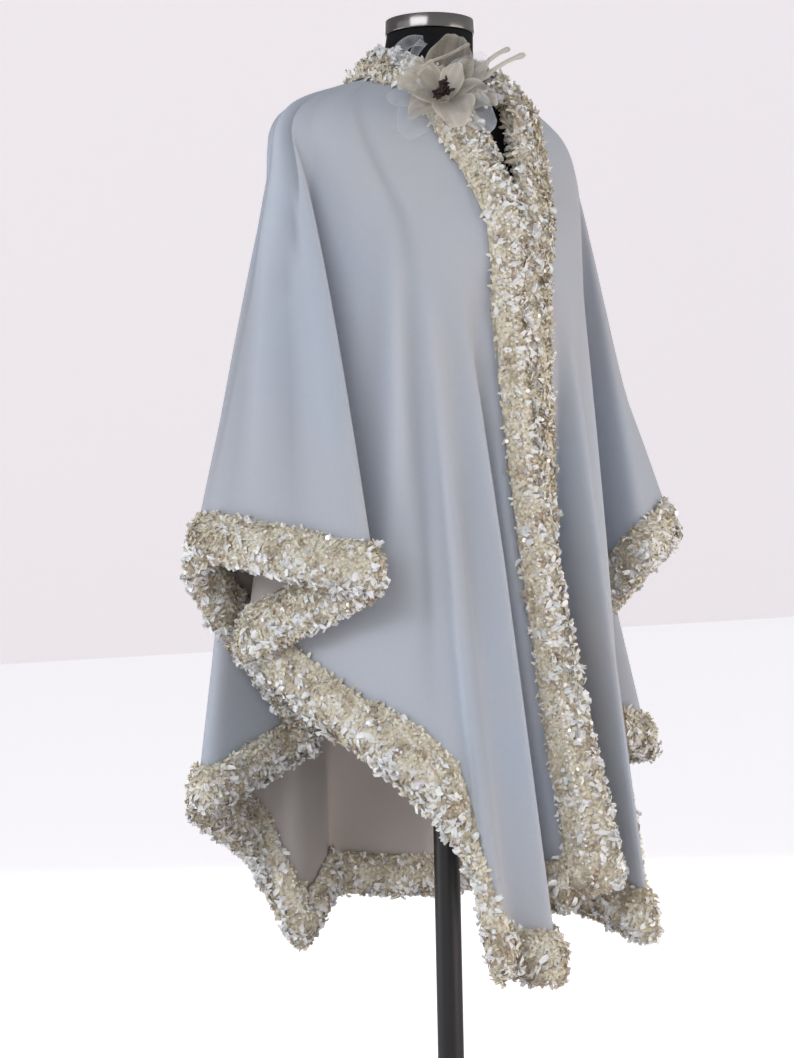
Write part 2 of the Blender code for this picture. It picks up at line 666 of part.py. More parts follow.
def make_bands(grid, normals, places, seams, home):
    right_start, left_end = places.index(BAND_LINE), places.index(places[-1] - BAND_LINE)
    right, left = places.index(seams[0]), places.index(seams[1])
    cloud = np.vstack([cloud_of(grid), form_cloud()])

    hems = (("right_hem_band", right_start, right), ("back_hem_band", right, left),
            ("left_hem_band", left, left_end))
    for name, first, stop in hems:
        rows, ups = grid[first:stop + 1, -2:], normals[first:stop + 1, -2:]
        make_band(name, band_sections(rows, ups, cloud), (2,), home)

    fronts = (("right_front_band", [right_start, 0], (0,)),
              ("left_front_band", [left_end, -1], (2,)))
    for name, pair, flipped in fronts:
        rows, ups = grid[pair].swapaxes(0, 1), normals[pair].swapaxes(0, 1)
        sections = band_sections(rows, ups, cloud, inset=FRONT_INSET, spare=NECK_CLEAR)
        make_band(name, sections, flipped, home)

    lines = [right_start]
    for number in range(right_start + 1, left_end):
        steps = np.linalg.norm(grid[number] - grid[lines[-1]], axis=-1)
        if steps[0] > NECK_STEP or steps[NECK_RINGS] > NECK_SPREAD:
            lines.append(number)
    if np.linalg.norm(grid[left_end, 0] - grid[lines[-1], 0]) < NECK_STEP:
        lines.pop()
    lines.append(left_end)
    neck = slice(NECK_RINGS, None, -1)
    rows, ups = grid[lines][:, neck], normals[lines][:, neck]
    sections = band_sections(rows, ups, cloud, spare=NECK_CLEAR, past=NECK_PAST_EDGE)
    return make_band("neck_band", sections, (0, 1), home)


# Resting one piece on another


def mesh_tree(piece):
    """A piece's points, as its modifiers leave it, and a search tree of its surface."""
    bpy.context.view_layer.update()
    evaluated = piece.evaluated_get(bpy.context.evaluated_depsgraph_get())
    mesh = evaluated.to_mesh()
    points = [piece.matrix_world @ vertex.co for vertex in mesh.vertices]
    faces = [tuple(face.vertices) for face in mesh.polygons]
    evaluated.to_mesh_clear()
    return points, BVHTree.FromPolygons(points, faces)


def way_back(piece, supports, direction, reach=0.20):
    """How far the piece can move against the direction before it meets a support."""
    points, tree = mesh_tree(piece)
    ways = []
    for support in supports:
        support_points, support_tree = mesh_tree(support)
        for point in points:
            hit = support_tree.ray_cast(point, -direction, reach)
            if hit[0] is not None:
                ways.append(hit[3])
        for point in support_points:
            hit = tree.ray_cast(point, direction, reach)
            if hit[0] is not None:
                ways.append(hit[3])
    return min(ways, default=reach)


def meets(piece, supports):
    tree = mesh_tree(piece)[1]
    return any(tree.overlap(mesh_tree(support)[1]) for support in supports)


def seat(piece, supports, direction):
    """Moves the piece against the direction until it lies on its supports."""
    direction = Vector(direction).normalized()
    shift = -direction * (way_back(piece, supports, direction) - SEAT_GAP)
    piece.data.transform(Matrix.Translation(shift))
    while meets(piece, supports):
        piece.data.transform(Matrix.Translation(direction * SEAT_GAP))
    piece.data.update()


# The flower


def flower_axes():
    facing = unit(np.array(FLOWER_FACES))
    across = unit(np.cross((0.0, 0.0, 1.0), facing))
    return facing, across, np.cross(facing, across)


def petal_rings(radius, least, petals, depth, ripple, waves, lag, turn):
    """One layer of petals: rings from its middle to its wavy rim, clear of the neck."""
    facing, across, upward = flower_axes()
    start = np.array(FLOWER_CENTRE) + facing * PETALS_START
    steps = petals * PETAL_STEPS
    angles = np.linspace(0, 2 * math.pi, steps, endpoint=False)
    lobes = np.abs(np.cos(petals * (angles - math.radians(turn)) / 2)) ** PETAL_FULLNESS
    reach = radius * (PETAL_WAIST + (1 - PETAL_WAIST) * lobes)
    rings = []
    for share in PETAL_SHARES:
        out = least + (reach - least) * share
        wave = np.sin(waves * angles + lag * share)
        height = depth * share**PETAL_CUP + ripple / 2 * share**2 * wave
        spots = np.outer(out * np.cos(angles), across) + np.outer(out * np.sin(angles), upward)
        rings.append(start + spots + np.outer(height, facing))
    return np.array(rings)


def make_petals(name, rings, home):
    """An open layer of petals, given its thickness by Solidify."""
    count, steps = rings.shape[:2]
    faces = []
    for ring in range(count - 1):
        for step in range(steps):
            after = (step + 1) % steps
            a, b = ring * steps + step, ring * steps + after
            faces.append((a, (ring + 1) * steps + step, (ring + 1) * steps + after, b))
    mesh = bpy.data.meshes.new(name)
    mesh.from_pydata([tuple(point) for point in rings.reshape(-1, 3)], [], faces)
    mesh.update()
    mesh.shade_smooth()
    piece = new_object(name, mesh, "organza", home)
    wall = piece.modifiers.new("Wall", "SOLIDIFY")
    wall.thickness = FLOWER_WALL
    wall.offset = 0.0
    return piece


def make_ribbon(name, start, end, width, home):
    """A narrow ribbon end, bowed along its length."""
    facing, across, upward = flower_axes()
    root = np.array(FLOWER_CENTRE) + facing * TOP_START
    run = unit(np.array(end) - np.array(start))
    side = np.array((-run[1], run[0])) * width / 2
    rings = []
    for share in np.linspace(0, 1, RIBBON_STEPS):
        flat = np.array(start) * (1 - share) + np.array(end) * share
        bow = RIBBON_BOW * math.sin(math.pi * share)
        ring = []
        for edge, face in ((1, 1), (1, -1), (-1, -1), (-1, 1)):
            spot = flat + side * edge
            height = bow + face * RIBBON_WALL / 2
            ring.append(root + across * spot[0] + upward * spot[1] + facing * height)
        rings.append(ring)
    mesh = loft_mesh(name, rings, closed=True)
    return new_object(name, mesh, "ribbon", home)


def make_flower(home, neckwear):
    facing = Vector(flower_axes()[0])
    supports = list(neckwear)
    for name, *sizes in FLOWER_LAYERS:
        layer = make_petals(name, petal_rings(*sizes), home)
        seat(layer, supports, facing)
        supports.append(layer)
    for name, start_x, start_y, end_x, end_y, width in RIBBONS:
        ribbon = make_ribbon(name, (start_x, start_y), (end_x, end_y), width, home)
        seat(ribbon, supports, facing)
        supports.append(ribbon)
    bpy.ops.mesh.primitive_uv_sphere_add(segments=STAMEN_SIDES, ring_count=STAMEN_SIDES // 2,
                                         radius=STAMEN_RADIUS)
    centre = bpy.context.object
    centre.name = centre.data.name = "flower_stamens"
    centre.data.transform(Matrix.Translation(Vector(FLOWER_CENTRE) + facing * TOP_START))
    settle_primitive(centre, "stamens", home)
    seat(centre, supports, facing)


def main():
    clear_scene()
    home = bpy.data.collections.new(OBJECT_NAME)
    bpy.context.scene.collection.children.link(home)
    make_form(home)

    grid, normals, places, seams = plan_cloth()
    right, left = places.index(seams[0]), places.index(seams[1])
    panels = (("cape_right_front", 0, right), ("cape_back", right, left),
              ("cape_left_front", left, len(places) - 1))
    made = {}
    for name, first, stop in panels:
        made[name] = make_panel(name, parted(grid[first:stop + 1]), home)
    neck_band = make_bands(grid, normals, places, seams, home)
    supports = [neck_band, made["cape_right_front"], home.objects["right_front_band"],
                home.objects["form_neck_cap"], home.objects["form_torso"],
                home.objects["left_front_band"]]
    make_flower(home, supports)


if __name__ == "__main__":
    main()
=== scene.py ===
# %% [markdown]
# # A wide wool cape with petal trim, on a dress form
# The real cape is one wide rectangle of wool, slit up the front, with ruffled trim on every edge. The
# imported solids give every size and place. They could be painted as they are, but real cloth and trim
# are finer, so this script builds each piece again at a finer step: napped wool that falls in soft
# folds, thousands of small petals, a flower of organza, and the black form under it all. Everything
# is in metres, +Z up, with the front facing -Y.

# %% Load the frame
import math

import bmesh
import bpy
import numpy as np
from mathutils import Matrix, Vector, noise
from mathutils.bvhtree import BVHTree
from mathutils.kdtree import KDTree


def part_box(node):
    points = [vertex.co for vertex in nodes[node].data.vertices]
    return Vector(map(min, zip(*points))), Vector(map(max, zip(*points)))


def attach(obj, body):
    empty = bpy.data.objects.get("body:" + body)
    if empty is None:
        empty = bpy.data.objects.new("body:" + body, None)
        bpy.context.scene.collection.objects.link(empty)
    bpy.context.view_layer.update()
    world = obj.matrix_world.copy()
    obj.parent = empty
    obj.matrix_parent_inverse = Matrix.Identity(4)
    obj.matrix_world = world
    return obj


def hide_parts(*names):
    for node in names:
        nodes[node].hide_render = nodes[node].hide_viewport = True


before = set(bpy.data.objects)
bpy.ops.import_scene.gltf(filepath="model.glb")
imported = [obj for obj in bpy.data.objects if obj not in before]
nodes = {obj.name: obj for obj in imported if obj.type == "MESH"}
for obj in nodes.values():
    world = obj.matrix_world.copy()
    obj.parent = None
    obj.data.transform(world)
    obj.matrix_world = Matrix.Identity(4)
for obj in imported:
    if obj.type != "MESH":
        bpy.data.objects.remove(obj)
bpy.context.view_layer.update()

MM = 0.001

# %% [markdown]
# ## Tools for the materials
# No real surface is one flat colour, so every finish here has a drift of colour and a fine height.
# Each material could hold its own copy of those nodes. A node group is built once instead, and placed
# with other values in each material. The shader stays in the material, with its plain numbers.


# %% Material tools
def new_material(name, roughness=0.5, metallic=0.0, **constants):
    """A material with one Principled shader, and the numbers that are the same all over it."""
    material = bpy.data.materials.new(name)
    material.use_nodes = True
    shader = material.node_tree.nodes["Principled BSDF"]
    shader.inputs["Roughness"].default_value = roughness
    shader.inputs["Metallic"].default_value = metallic
    for label, value in constants.items():
        shader.inputs[label.replace("_", " ")].default_value = value
    return material, material.node_tree, shader


def add_node(tree, kind, **values):
    """A node whose inputs are set by name."""
    node = tree.nodes.new(kind)
    for label, value in values.items():
        node.inputs[label.replace("_", " ")].default_value = value
    return node


def new_group(name, inputs, outputs):
    tree = bpy.data.node_groups.new(name, "ShaderNodeTree")
    for label, kind, value in inputs:
        socket = tree.interface.new_socket(label, in_out="INPUT", socket_type=kind)
        socket.default_value = value
    for label, kind in outputs:
        tree.interface.new_socket(label, in_out="OUTPUT", socket_type=kind)
    return tree, tree.nodes.new("NodeGroupInput"), tree.nodes.new("NodeGroupOutput")


def place_group(tree, group, **values):
    node = tree.nodes.new("ShaderNodeGroup")
    node.node_tree = group
    for label, value in values.items():
        node.inputs[label.replace("_", " ")].default_value = value
    return node


def add_bump(tree, height, shader, strength, distance):
    bump = add_node(tree, "ShaderNodeBump", Strength=strength, Distance=distance)
    tree.links.new(height, bump.inputs["Height"])
    tree.links.new(bump.outputs["Normal"], shader.inputs["Normal"])


COLOUR, NUMBER = "NodeSocketColor", "NodeSocketFloat"
print("material tools:", [tool.__name__ for tool in (new_material, new_group, place_group, add_bump)])


# %% [markdown]
# ## Tools for single nodes
# Every finish mixes colours by a noise, and stretches a value from one range to another. Each such node
# could be set up where it is used, but a Mix node's sockets for colours have only numbers to tell them
# apart. So each kind of node has one helper, which takes sockets and gives back the one of its result.


# %% Tools for single nodes
def feed(tree, source, target):
    """Give a socket another node's result, or a plain number."""
    if isinstance(source, bpy.types.NodeSocket):
        tree.links.new(source, target)
    else:
        target.default_value = source


def noise_texture(tree, place, scale, **values):
    texture = add_node(tree, "ShaderNodeTexNoise", **values)
    tree.links.new(place, texture.inputs["Vector"])
    feed(tree, scale, texture.inputs["Scale"])
    return texture.outputs["Fac"]


def map_range(tree, value, start=(0.0, 1.0), to=(0.0, 1.0)):
    """The value, stretched from one range to another and held within it."""
    stretch = add_node(tree, "ShaderNodeMapRange", From_Min=start[0], From_Max=start[1], To_Min=to[0],
                       To_Max=to[1])
    tree.links.new(value, stretch.inputs["Value"])
    return stretch.outputs["Result"]


def mix_values(tree, share, first, second):
    mix = tree.nodes.new("ShaderNodeMix")
    feed(tree, share, mix.inputs["Factor"])
    tree.links.new(first, mix.inputs["A"])
    tree.links.new(second, mix.inputs["B"])
    return mix.outputs["Result"]


def mix_colours(tree, share, first, second, blend="MIX"):
    """A colour between two others: the node's inputs 6 and 7 and its output 2 are for colours."""
    mix = tree.nodes.new("ShaderNodeMix")
    mix.data_type = "RGBA"
    mix.blend_type = blend
    tree.links.new(share, mix.inputs["Factor"])
    tree.links.new(first, mix.inputs[6])
    tree.links.new(second, mix.inputs[7])
    return mix.outputs[2]


print("node tools:", [tool.__name__ for tool in (noise_texture, map_range, mix_values, mix_colours)])


# %% [markdown]
# ## Uneven fibre
# Stretched jersey, and the paper-like floor and wall, have broad pale patches and a fine fibre. A
# picture of cloth could show it, but would repeat and have seams. Two noises do it without: a broad
# one mixes two colours, and a fine one is the height of the fibres.


# %% Uneven fibre group
def make_fibre_group():
    tree, start, end = new_group(
        "uneven_fibre",
        [("Light", COLOUR, (1, 1, 1, 1)), ("Dark", COLOUR, (0, 0, 0, 1)),
         ("Patch Scale", NUMBER, 8.0), ("Fibre Scale", NUMBER, 600.0), ("Fleck", NUMBER, 0.3)],
        [("Colour", COLOUR), ("Height", NUMBER)])
    place = tree.nodes.new("ShaderNodeTexCoord").outputs["Object"]
    patches = noise_texture(tree, place, start.outputs["Patch Scale"], Detail=3.0, Roughness=0.55)
    fibres = noise_texture(tree, place, start.outputs["Fibre Scale"], Detail=4.0, Roughness=0.7,
                           Distortion=0.6)
    fleck = mix_values(tree, start.outputs["Fleck"], patches, fibres)
    colour = mix_colours(tree, fleck, start.outputs["Dark"], start.outputs["Light"])
    tree.links.new(colour, end.inputs["Colour"])
    tree.links.new(fibres, end.inputs["Height"])
    return tree


fibre_group = make_fibre_group()
print("group:", fibre_group.name)


# %% [markdown]
# ## Woven wool
# The cape's wool is woven, with a short nap that half hides the threads. Its grey drifts between
# warm and cool over a hand's width. Single threads are too fine to model, so they are a bump. Two
# stretched noises on the panel's own UV map are the two ways of thread, because only the UV map
# follows the cloth round its folds. A third is the nap, and a broad one moves the colour.


# %% Woven wool group
THREADS = 620.0             # threads' grain per metre
THREAD_LENGTH = 9.0         # times as long as it is wide
NAP_SHARE = 0.35            # how much of the height is nap, and not threads
DRIFT = (0.32, 0.68)        # values of the broad noise that are wholly cool, and wholly warm


def thread_height(tree, place):
    """Two ways of thread on the UV map, half hidden by the nap."""
    threads = []
    for stretch in ((THREADS, THREADS / THREAD_LENGTH, 1.0), (THREADS / THREAD_LENGTH, THREADS, 1.0)):
        lay = add_node(tree, "ShaderNodeMapping", Scale=stretch)
        tree.links.new(place.outputs["UV"], lay.inputs["Vector"])
        threads.append(noise_texture(tree, lay.outputs["Vector"], 1.0, Detail=2.0, Roughness=0.5))
    woven = mix_values(tree, 0.5, *threads)
    nap = noise_texture(tree, place.outputs["Object"], 900.0, Detail=3.0, Roughness=0.7)
    return mix_values(tree, NAP_SHARE, woven, nap)


def make_weave_group():
    tree, start, end = new_group(
        "woven_wool",
        [("Cool", COLOUR, (1, 1, 1, 1)), ("Warm", COLOUR, (1, 1, 1, 1)), ("Patch Scale", NUMBER, 5.0),
         ("Grain", NUMBER, 0.1)],
        [("Colour", COLOUR), ("Height", NUMBER)])
    place = tree.nodes.new("ShaderNodeTexCoord")
    height = thread_height(tree, place)
    drift = noise_texture(tree, place.outputs["Object"], start.outputs["Patch Scale"], Detail=2.0,
                          Roughness=0.5)
    tint = mix_colours(tree, map_range(tree, drift, DRIFT), start.outputs["Cool"], start.outputs["Warm"])
    shade = mix_colours(tree, start.outputs["Grain"], tint, height, "MULTIPLY")
    tree.links.new(shade, end.inputs["Colour"])
    tree.links.new(height, end.inputs["Height"])
    return tree


weave_group = make_weave_group()
print("group:", weave_group.name)


# %% [markdown]
# ## Tone from the mesh
# No two petals of the real trim are the same cream. A material for each would mean thousands, so
# each petal's tone is kept in a point attribute of its mesh. One group reads it and picks a colour
# from deep through middle to pale. A fine noise is the crimp of the cloth.


# %% Petal tone group
def make_tone_group():
    tree, start, end = new_group(
        "petal_tone",
        [("Pale", COLOUR, (1, 1, 1, 1)), ("Middle", COLOUR, (0.7, 0.7, 0.7, 1)),
         ("Deep", COLOUR, (0.5, 0.5, 0.5, 1)), ("Crimp", NUMBER, 900.0)],
        [("Colour", COLOUR), ("Height", NUMBER), ("Tone", NUMBER)])
    tone = tree.nodes.new("ShaderNodeAttribute")
    tone.attribute_name = "tone"
    tree.links.new(tone.outputs["Fac"], end.inputs["Tone"])
    place = tree.nodes.new("ShaderNodeTexCoord").outputs["Object"]
    tree.links.new(noise_texture(tree, place, start.outputs["Crimp"], Detail=2.0), end.inputs["Height"])
    colour = start.outputs["Deep"]
    for lighter, span in (("Middle", (0.0, 0.5)), ("Pale", (0.5, 1.0))):
        share = map_range(tree, tone.outputs["Fac"], span)
        colour = mix_colours(tree, share, colour, start.outputs[lighter])
    tree.links.new(colour, end.inputs["Colour"])
    return tree


tone_group = make_tone_group()
print("group:", tone_group.name)


# %% [markdown]
# ## Gathered organza, seen from a step away
# Between the loose frills the trim's gathered body shows: many small puffs with brown shade between
# them. They could be modelled too, but are half hidden, so a pattern is enough. Cells of a Voronoi
# texture are the puffs. Each has its own tone, and its low edge is darkened with painted brown shade.


# %% Gathered puffs group
PUFF_EDGE = (0.35, 0.75)    # from a puff's middle to here it is cloth, and past there wholly shade


def make_puff_group():
    tree, start, end = new_group(
        "gathered_puffs",
        [("Pale", COLOUR, (1, 1, 1, 1)), ("Cream", COLOUR, (1, 1, 1, 1)), ("Shade", COLOUR, (0, 0, 0, 1)),
         ("Puff Scale", NUMBER, 200.0)],
        [("Colour", COLOUR), ("Height", NUMBER)])
    place = tree.nodes.new("ShaderNodeTexCoord")
    puffs = add_node(tree, "ShaderNodeTexVoronoi", Randomness=1.0)
    tree.links.new(place.outputs["Object"], puffs.inputs["Vector"])
    tree.links.new(start.outputs["Puff Scale"], puffs.inputs["Scale"])
    tone = tree.nodes.new("ShaderNodeSeparateColor")
    tree.links.new(puffs.outputs["Color"], tone.inputs["Color"])
    puff = mix_colours(tree, tone.outputs["Red"], start.outputs["Cream"], start.outputs["Pale"])
    edge = map_range(tree, puffs.outputs["Distance"], PUFF_EDGE)
    # the dark rim of each puff is painted shade, the brown between puffs
    shaded = mix_colours(tree, edge, puff, start.outputs["Shade"])
    low = tree.nodes.new("ShaderNodeMath")
    low.operation = "SUBTRACT"
    low.inputs[0].default_value = 1.0
    tree.links.new(puffs.outputs["Distance"], low.inputs[1])
    tree.links.new(shaded, end.inputs["Colour"])
    tree.links.new(low.outputs["Value"], end.inputs["Height"])
    return tree


puff_group = make_puff_group()
print("group:", puff_group.name)


# %% [markdown]
# ## Kinds of finish
# There are three: a fibre for jersey and backdrop, petals that read their tone from the mesh, and
# wool. One shader with every part in it would be hard to read, so each kind has its own function.
# Wool gets painted shade in the hollows of its creases: its mesh says how deep each point lies, and
# the colour darkens there, and lightens a little on the ridges as a painted highlight. Sheer organza
# is densest where it lies double, so its alpha follows the tone, which is palest on rims and pleats.


# %% Kinds of finish
def fibre_material(name, light, dark, patch, fibre, fleck, strength, distance, **constants):
    material, tree, shader = new_material(name, **constants)
    look = place_group(tree, fibre_group, Light=(*light, 1), Dark=(*dark, 1), Patch_Scale=patch,
                       Fibre_Scale=fibre, Fleck=fleck)
    tree.links.new(look.outputs["Colour"], shader.inputs["Base Color"])
    add_bump(tree, look.outputs["Height"], shader, strength, distance)
    return material


def petal_material(name, pale, deep, crimp, strength, sheer=None, middle=None, **constants):
    """A material whose tone comes from the mesh. Where it is sheer, its rims are the densest."""
    material, tree, shader = new_material(name, **constants)
    middle = middle or tuple((light + dark) / 2 for light, dark in zip(pale, deep))
    look = place_group(tree, tone_group, Pale=(*pale, 1), Middle=(*middle, 1), Deep=(*deep, 1), Crimp=crimp)
    tree.links.new(look.outputs["Colour"], shader.inputs["Base Color"])
    if sheer:
        tree.links.new(map_range(tree, look.outputs["Tone"], to=sheer), shader.inputs["Alpha"])
    add_bump(tree, look.outputs["Height"], shader, strength, 0.4 * MM)
    return material


# painted highlight on the creases' ridges and painted shade in their hollows, as brightness
CREASE_PAINTED_SHADES = (1.10, 0.66)    # brightness on the ridges of the creases, and in their hollows


def wool_material(name, cool, warm, grain, strength, **constants):
    """Woven wool, with painted shade in the hollows of its creases and a painted highlight on their ridges.
    """
    material, tree, shader = new_material(name, **constants)
    look = place_group(tree, weave_group, Cool=(*cool, 1), Warm=(*warm, 1), Patch_Scale=4.5, Grain=grain)
    # how deep each point lies in a crease: it darkens the colour as painted shade, or lightens it on a
    # ridge as a painted highlight
    hollow = tree.nodes.new("ShaderNodeAttribute")
    hollow.attribute_name = "hollow"
    depth = map_range(tree, hollow.outputs["Fac"], (-1.0, 1.0), CREASE_PAINTED_SHADES)
    shaded = tree.nodes.new("ShaderNodeHueSaturation")
    tree.links.new(depth, shaded.inputs["Value"])
    tree.links.new(look.outputs["Colour"], shaded.inputs["Color"])
    tree.links.new(shaded.outputs["Color"], shader.inputs["Base Color"])
    add_bump(tree, look.outputs["Height"], shader, strength, 0.6 * MM)
    return material


print("kinds of finish:", [kind.__name__ for kind in (fibre_material, petal_material, wool_material)])


# %% [markdown]
# ## Finishes of the cloth
# The wool is a matte, cool grey-white with a short nap. Its inner face has a browner copy of it, which
# is painted warm shade. The form's jersey is matte black. Wool has a high roughness, so that no
# highlight runs down a fold, a little sheen for the nap's rim of light, and a fine bump.


# %% Finishes of the cloth
wool = wool_material("ivory_wool", (0.575, 0.632, 0.728), (0.615, 0.63, 0.69), 0.17, 0.55,
                     roughness=0.92, Sheen_Weight=0.15, Sheen_Roughness=0.5)
# the inner face: a browner copy of the wool, painted warm shade
wool_inside_painted_shade = wool_material("wool_inside_painted_shade", (0.62, 0.57, 0.54), (0.55, 0.50, 0.47), 0.12, 0.45,
                            roughness=0.95)
jersey = fibre_material("black_jersey", (0.008, 0.008, 0.009), (0.004, 0.004, 0.005), 20.0, 1400.0, 0.5,
                        0.4, 0.3 * MM, roughness=0.85, Sheen_Weight=0.02, Specular_IOR_Level=0.2)
print("cloth finishes:", wool.name, wool_inside_painted_shade.name, jersey.name)


# %% [markdown]
# ## Finishes of the trim and the flower
# The trim is organza frills, white satin petals, clear sequins and pearls on a gathered base. The
# flower is sheer organza round dark, glossy stamens. They differ only in tone, sheen and sheerness,
# so one function makes all of them, and a gathered base alone has its own group.


# %% Finishes of the trim and the flower
# the frills' deep tan is painted shade; the middle cream and the pale white are the organza's own colours
frill_cloth = petal_material("cream_frills", (0.95, 0.92, 0.865), (0.46, 0.36, 0.27), 700.0, 0.3,
                             middle=(0.81, 0.74, 0.585), roughness=0.6, Sheen_Weight=0.2)
satin_cloth = petal_material("white_satin", (0.96, 0.96, 0.97), (0.92, 0.91, 0.89), 400.0, 0.15,
                             roughness=0.32, Coat_Weight=0.2)
base_cloth, base_tree, base_shader = new_material("gathered_organza", roughness=0.75, Sheen_Weight=0.1)
# the Shade colour is painted shade between the puffs
base_look = place_group(base_tree, puff_group, Pale=(0.84, 0.81, 0.72, 1), Cream=(0.74, 0.67, 0.50, 1),
                        Shade=(0.50, 0.42, 0.31, 1), Puff_Scale=190.0)
base_tree.links.new(base_look.outputs["Colour"], base_shader.inputs["Base Color"])
add_bump(base_tree, base_look.outputs["Height"], base_shader, 0.9, 2.5 * MM)
sequin_gloss = petal_material("clear_sequins", (0.93, 0.94, 0.97), (0.52, 0.55, 0.56), 300.0, 0.05,
                              roughness=0.22, metallic=0.35)
pearl_gloss = petal_material("pearl_beads", (0.92, 0.90, 0.86), (0.80, 0.78, 0.74), 200.0, 0.02,
                             roughness=0.18, Coat_Weight=0.6, Coat_Roughness=0.05)
organza = petal_material("flower_organza", (0.78, 0.74, 0.66), (0.40, 0.35, 0.28), 1500.0, 0.1,
                         sheer=(0.38, 0.92), roughness=0.55, Sheen_Weight=0.2)
veil = petal_material("flower_veil", (0.80, 0.83, 0.88), (0.60, 0.62, 0.66), 1800.0, 0.03,
                      sheer=(0.12, 0.46), roughness=0.5, Sheen_Weight=0.2)
stamen_gloss = petal_material("stamen_beads", (0.030, 0.008, 0.010), (0.006, 0.003, 0.004), 400.0, 0.05,
                              roughness=0.45)
print("materials:", len(bpy.data.materials))


# %% [markdown]
# ## Metal and paint
# The neck cap is polished chrome with faint smears, and the stand is black paint with a slight
# orange peel. The chrome's dark, brownish base colour is a painted reflection of a dark room. Wear at
# the edges would be the usual choice, but this stand looks new. So both only have a noise on their
# roughness and a very low bump.


# %% Metal and paint
def hard_material(name, colour, metallic, roughness, scale, strength):
    material, tree, shader = new_material(name, metallic=metallic)
    shader.inputs["Base Color"].default_value = (*colour, 1)
    place = tree.nodes.new("ShaderNodeTexCoord").outputs["Object"]
    grain = noise_texture(tree, place, scale, Detail=3.0)
    tree.links.new(map_range(tree, grain, to=roughness), shader.inputs["Roughness"])
    add_bump(tree, grain, shader, strength, 0.2 * MM)
    return material


# the chrome's dark, brownish base colour is a painted reflection of a dark room
chrome = hard_material("chrome_painted_dark_reflection", (0.20, 0.185, 0.175), 1.0, (0.12, 0.20), 60.0, 0.02)
black_paint = hard_material("black_paint", (0.012, 0.012, 0.013), 0.0, (0.30, 0.45), 500.0, 0.08)
print("hard finishes:", chrome.name, black_paint.name)


# %% [markdown]
# ## Putting a piece in the scene
# The cape has no joints, so every piece rides on the one body. A piece that is drawn in place of
# solids says which. Each could be linked by hand, but one helper keeps them all alike.


# %% Piece tools
def add_piece(name, mesh, material, replaced=(), slot=None):
    piece = bpy.data.objects.new(name, mesh)
    bpy.context.scene.collection.objects.link(piece)
    piece.data.materials.append(material)
    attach(piece, "root")
    if replaced:
        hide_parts(*replaced)
    return piece


def mesh_from(work, name, smooth=True):
    mesh = bpy.data.meshes.new(name)
    work.to_mesh(mesh)
    work.free()
    if smooth:
        mesh.shade_smooth()
    return mesh


def keep_on_points(mesh, name, values):
    """A value for each point of the mesh, which a material can read."""
    attribute = mesh.attributes.new(name, "FLOAT", "POINT")
    attribute.data.foreach_set("value", np.asarray(values, dtype=np.float32).ravel())


def triangles(piece):
    return sum(len(face.vertices) - 2 for face in piece.data.polygons)


def unit(vectors):
    return vectors / np.maximum(np.linalg.norm(vectors, axis=-1, keepdims=True), 1e-9)


print("piece tools:", [tool.__name__ for tool in (add_piece, mesh_from, keep_on_points, triangles, unit)])


# %% [markdown]
# ## The dress form
# A dress form is a padded torso under stretched black jersey, with no arms. Its sections are oval,
# flatter at the front than at the back. It could be sculpted, but then the cloth couldn't be worked
# out from it. So the rows that shaped the solid are read here too, on a smooth curve that never
# swings past its neighbours.

# %% The form's sections
# name, height, half width, front y, back y
FORM = (
    ("neck_top", 1.482, 0.053, -0.053, 0.053),
    ("neck", 1.458, 0.055, -0.052, 0.060),
    ("neck_base", 1.438, 0.062, -0.058, 0.076),
    ("shoulder_neck", 1.412, 0.092, -0.068, 0.093),
    ("shoulder_mid", 1.391, 0.158, -0.078, 0.113),
    ("shoulder_end", 1.367, 0.200, -0.090, 0.126),
    ("shoulder_tip", 1.338, 0.212, -0.104, 0.134),
    ("cap", 1.300, 0.211, -0.120, 0.136),
    ("upper_chest", 1.262, 0.196, -0.136, 0.131),
    ("bust", 1.215, 0.172, -0.151, 0.121),
    ("under_bust", 1.150, 0.150, -0.126, 0.106),
    ("waist", 1.060, 0.130, -0.104, 0.087),
    ("high_hip", 0.970, 0.152, -0.113, 0.108),
    ("hip", 0.880, 0.172, -0.113, 0.124),
    ("bottom", 0.800, 0.166, -0.102, 0.120),
    ("bottom_edge", 0.788, 0.154, -0.090, 0.108),
)
FORM_ROWS = np.array([row[1:] for row in FORM])
print("the form is", round(FORM[0][1] - FORM[-1][1], 3), "m high")


# %% [markdown]
# ## Reading the sections
# Between two rows the padding curves smoothly. Straight steps would show as rings on black jersey,
# and a plain spline can bulge past its rows. So the rows are read with slopes that never overshoot.
# Points at a lift from the surface are needed too, as the cloth lies on it.


# %% Reading the sections
def eased(rows, place):
    """The rows read between whole numbers, on a curve that stays within its neighbours."""
    rows = np.asarray(rows, dtype=float)
    steps = np.diff(rows, axis=0)
    slopes = np.zeros_like(rows)
    before, after = steps[:-1], steps[1:]
    agree = before * after > 0
    total = np.where(agree, before + after, 1.0)
    slopes[1:-1] = np.where(agree, 2 * before * after / total, 0.0)
    slopes[0], slopes[-1] = steps[0], steps[-1]
    place = np.clip(np.atleast_1d(place), 0, len(rows) - 1)
    low = np.minimum(place.astype(int), len(rows) - 2)
    t = (place - low)[:, None]
    start, end = rows[low], rows[low + 1]
    hermite = (2 * t**3 - 3 * t**2 + 1) * start + (3 * t**2 - 2 * t**3) * end
    return hermite + (t**3 - 2 * t**2 + t) * slopes[low] + (t**3 - t**2) * slopes[low + 1]


def place_of_height(z):
    places = np.linspace(0, len(FORM) - 1, 400)
    return np.interp(-np.asarray(z, dtype=float), -eased(FORM_ROWS, places)[:, 0], places)


def on_form(angle, place):
    z, wide, front, back = eased(FORM_ROWS, place).T
    y = (front + back) / 2 - (back - front) / 2 * np.cos(angle)
    return np.stack([-wide * np.sin(angle), y, z], axis=-1)


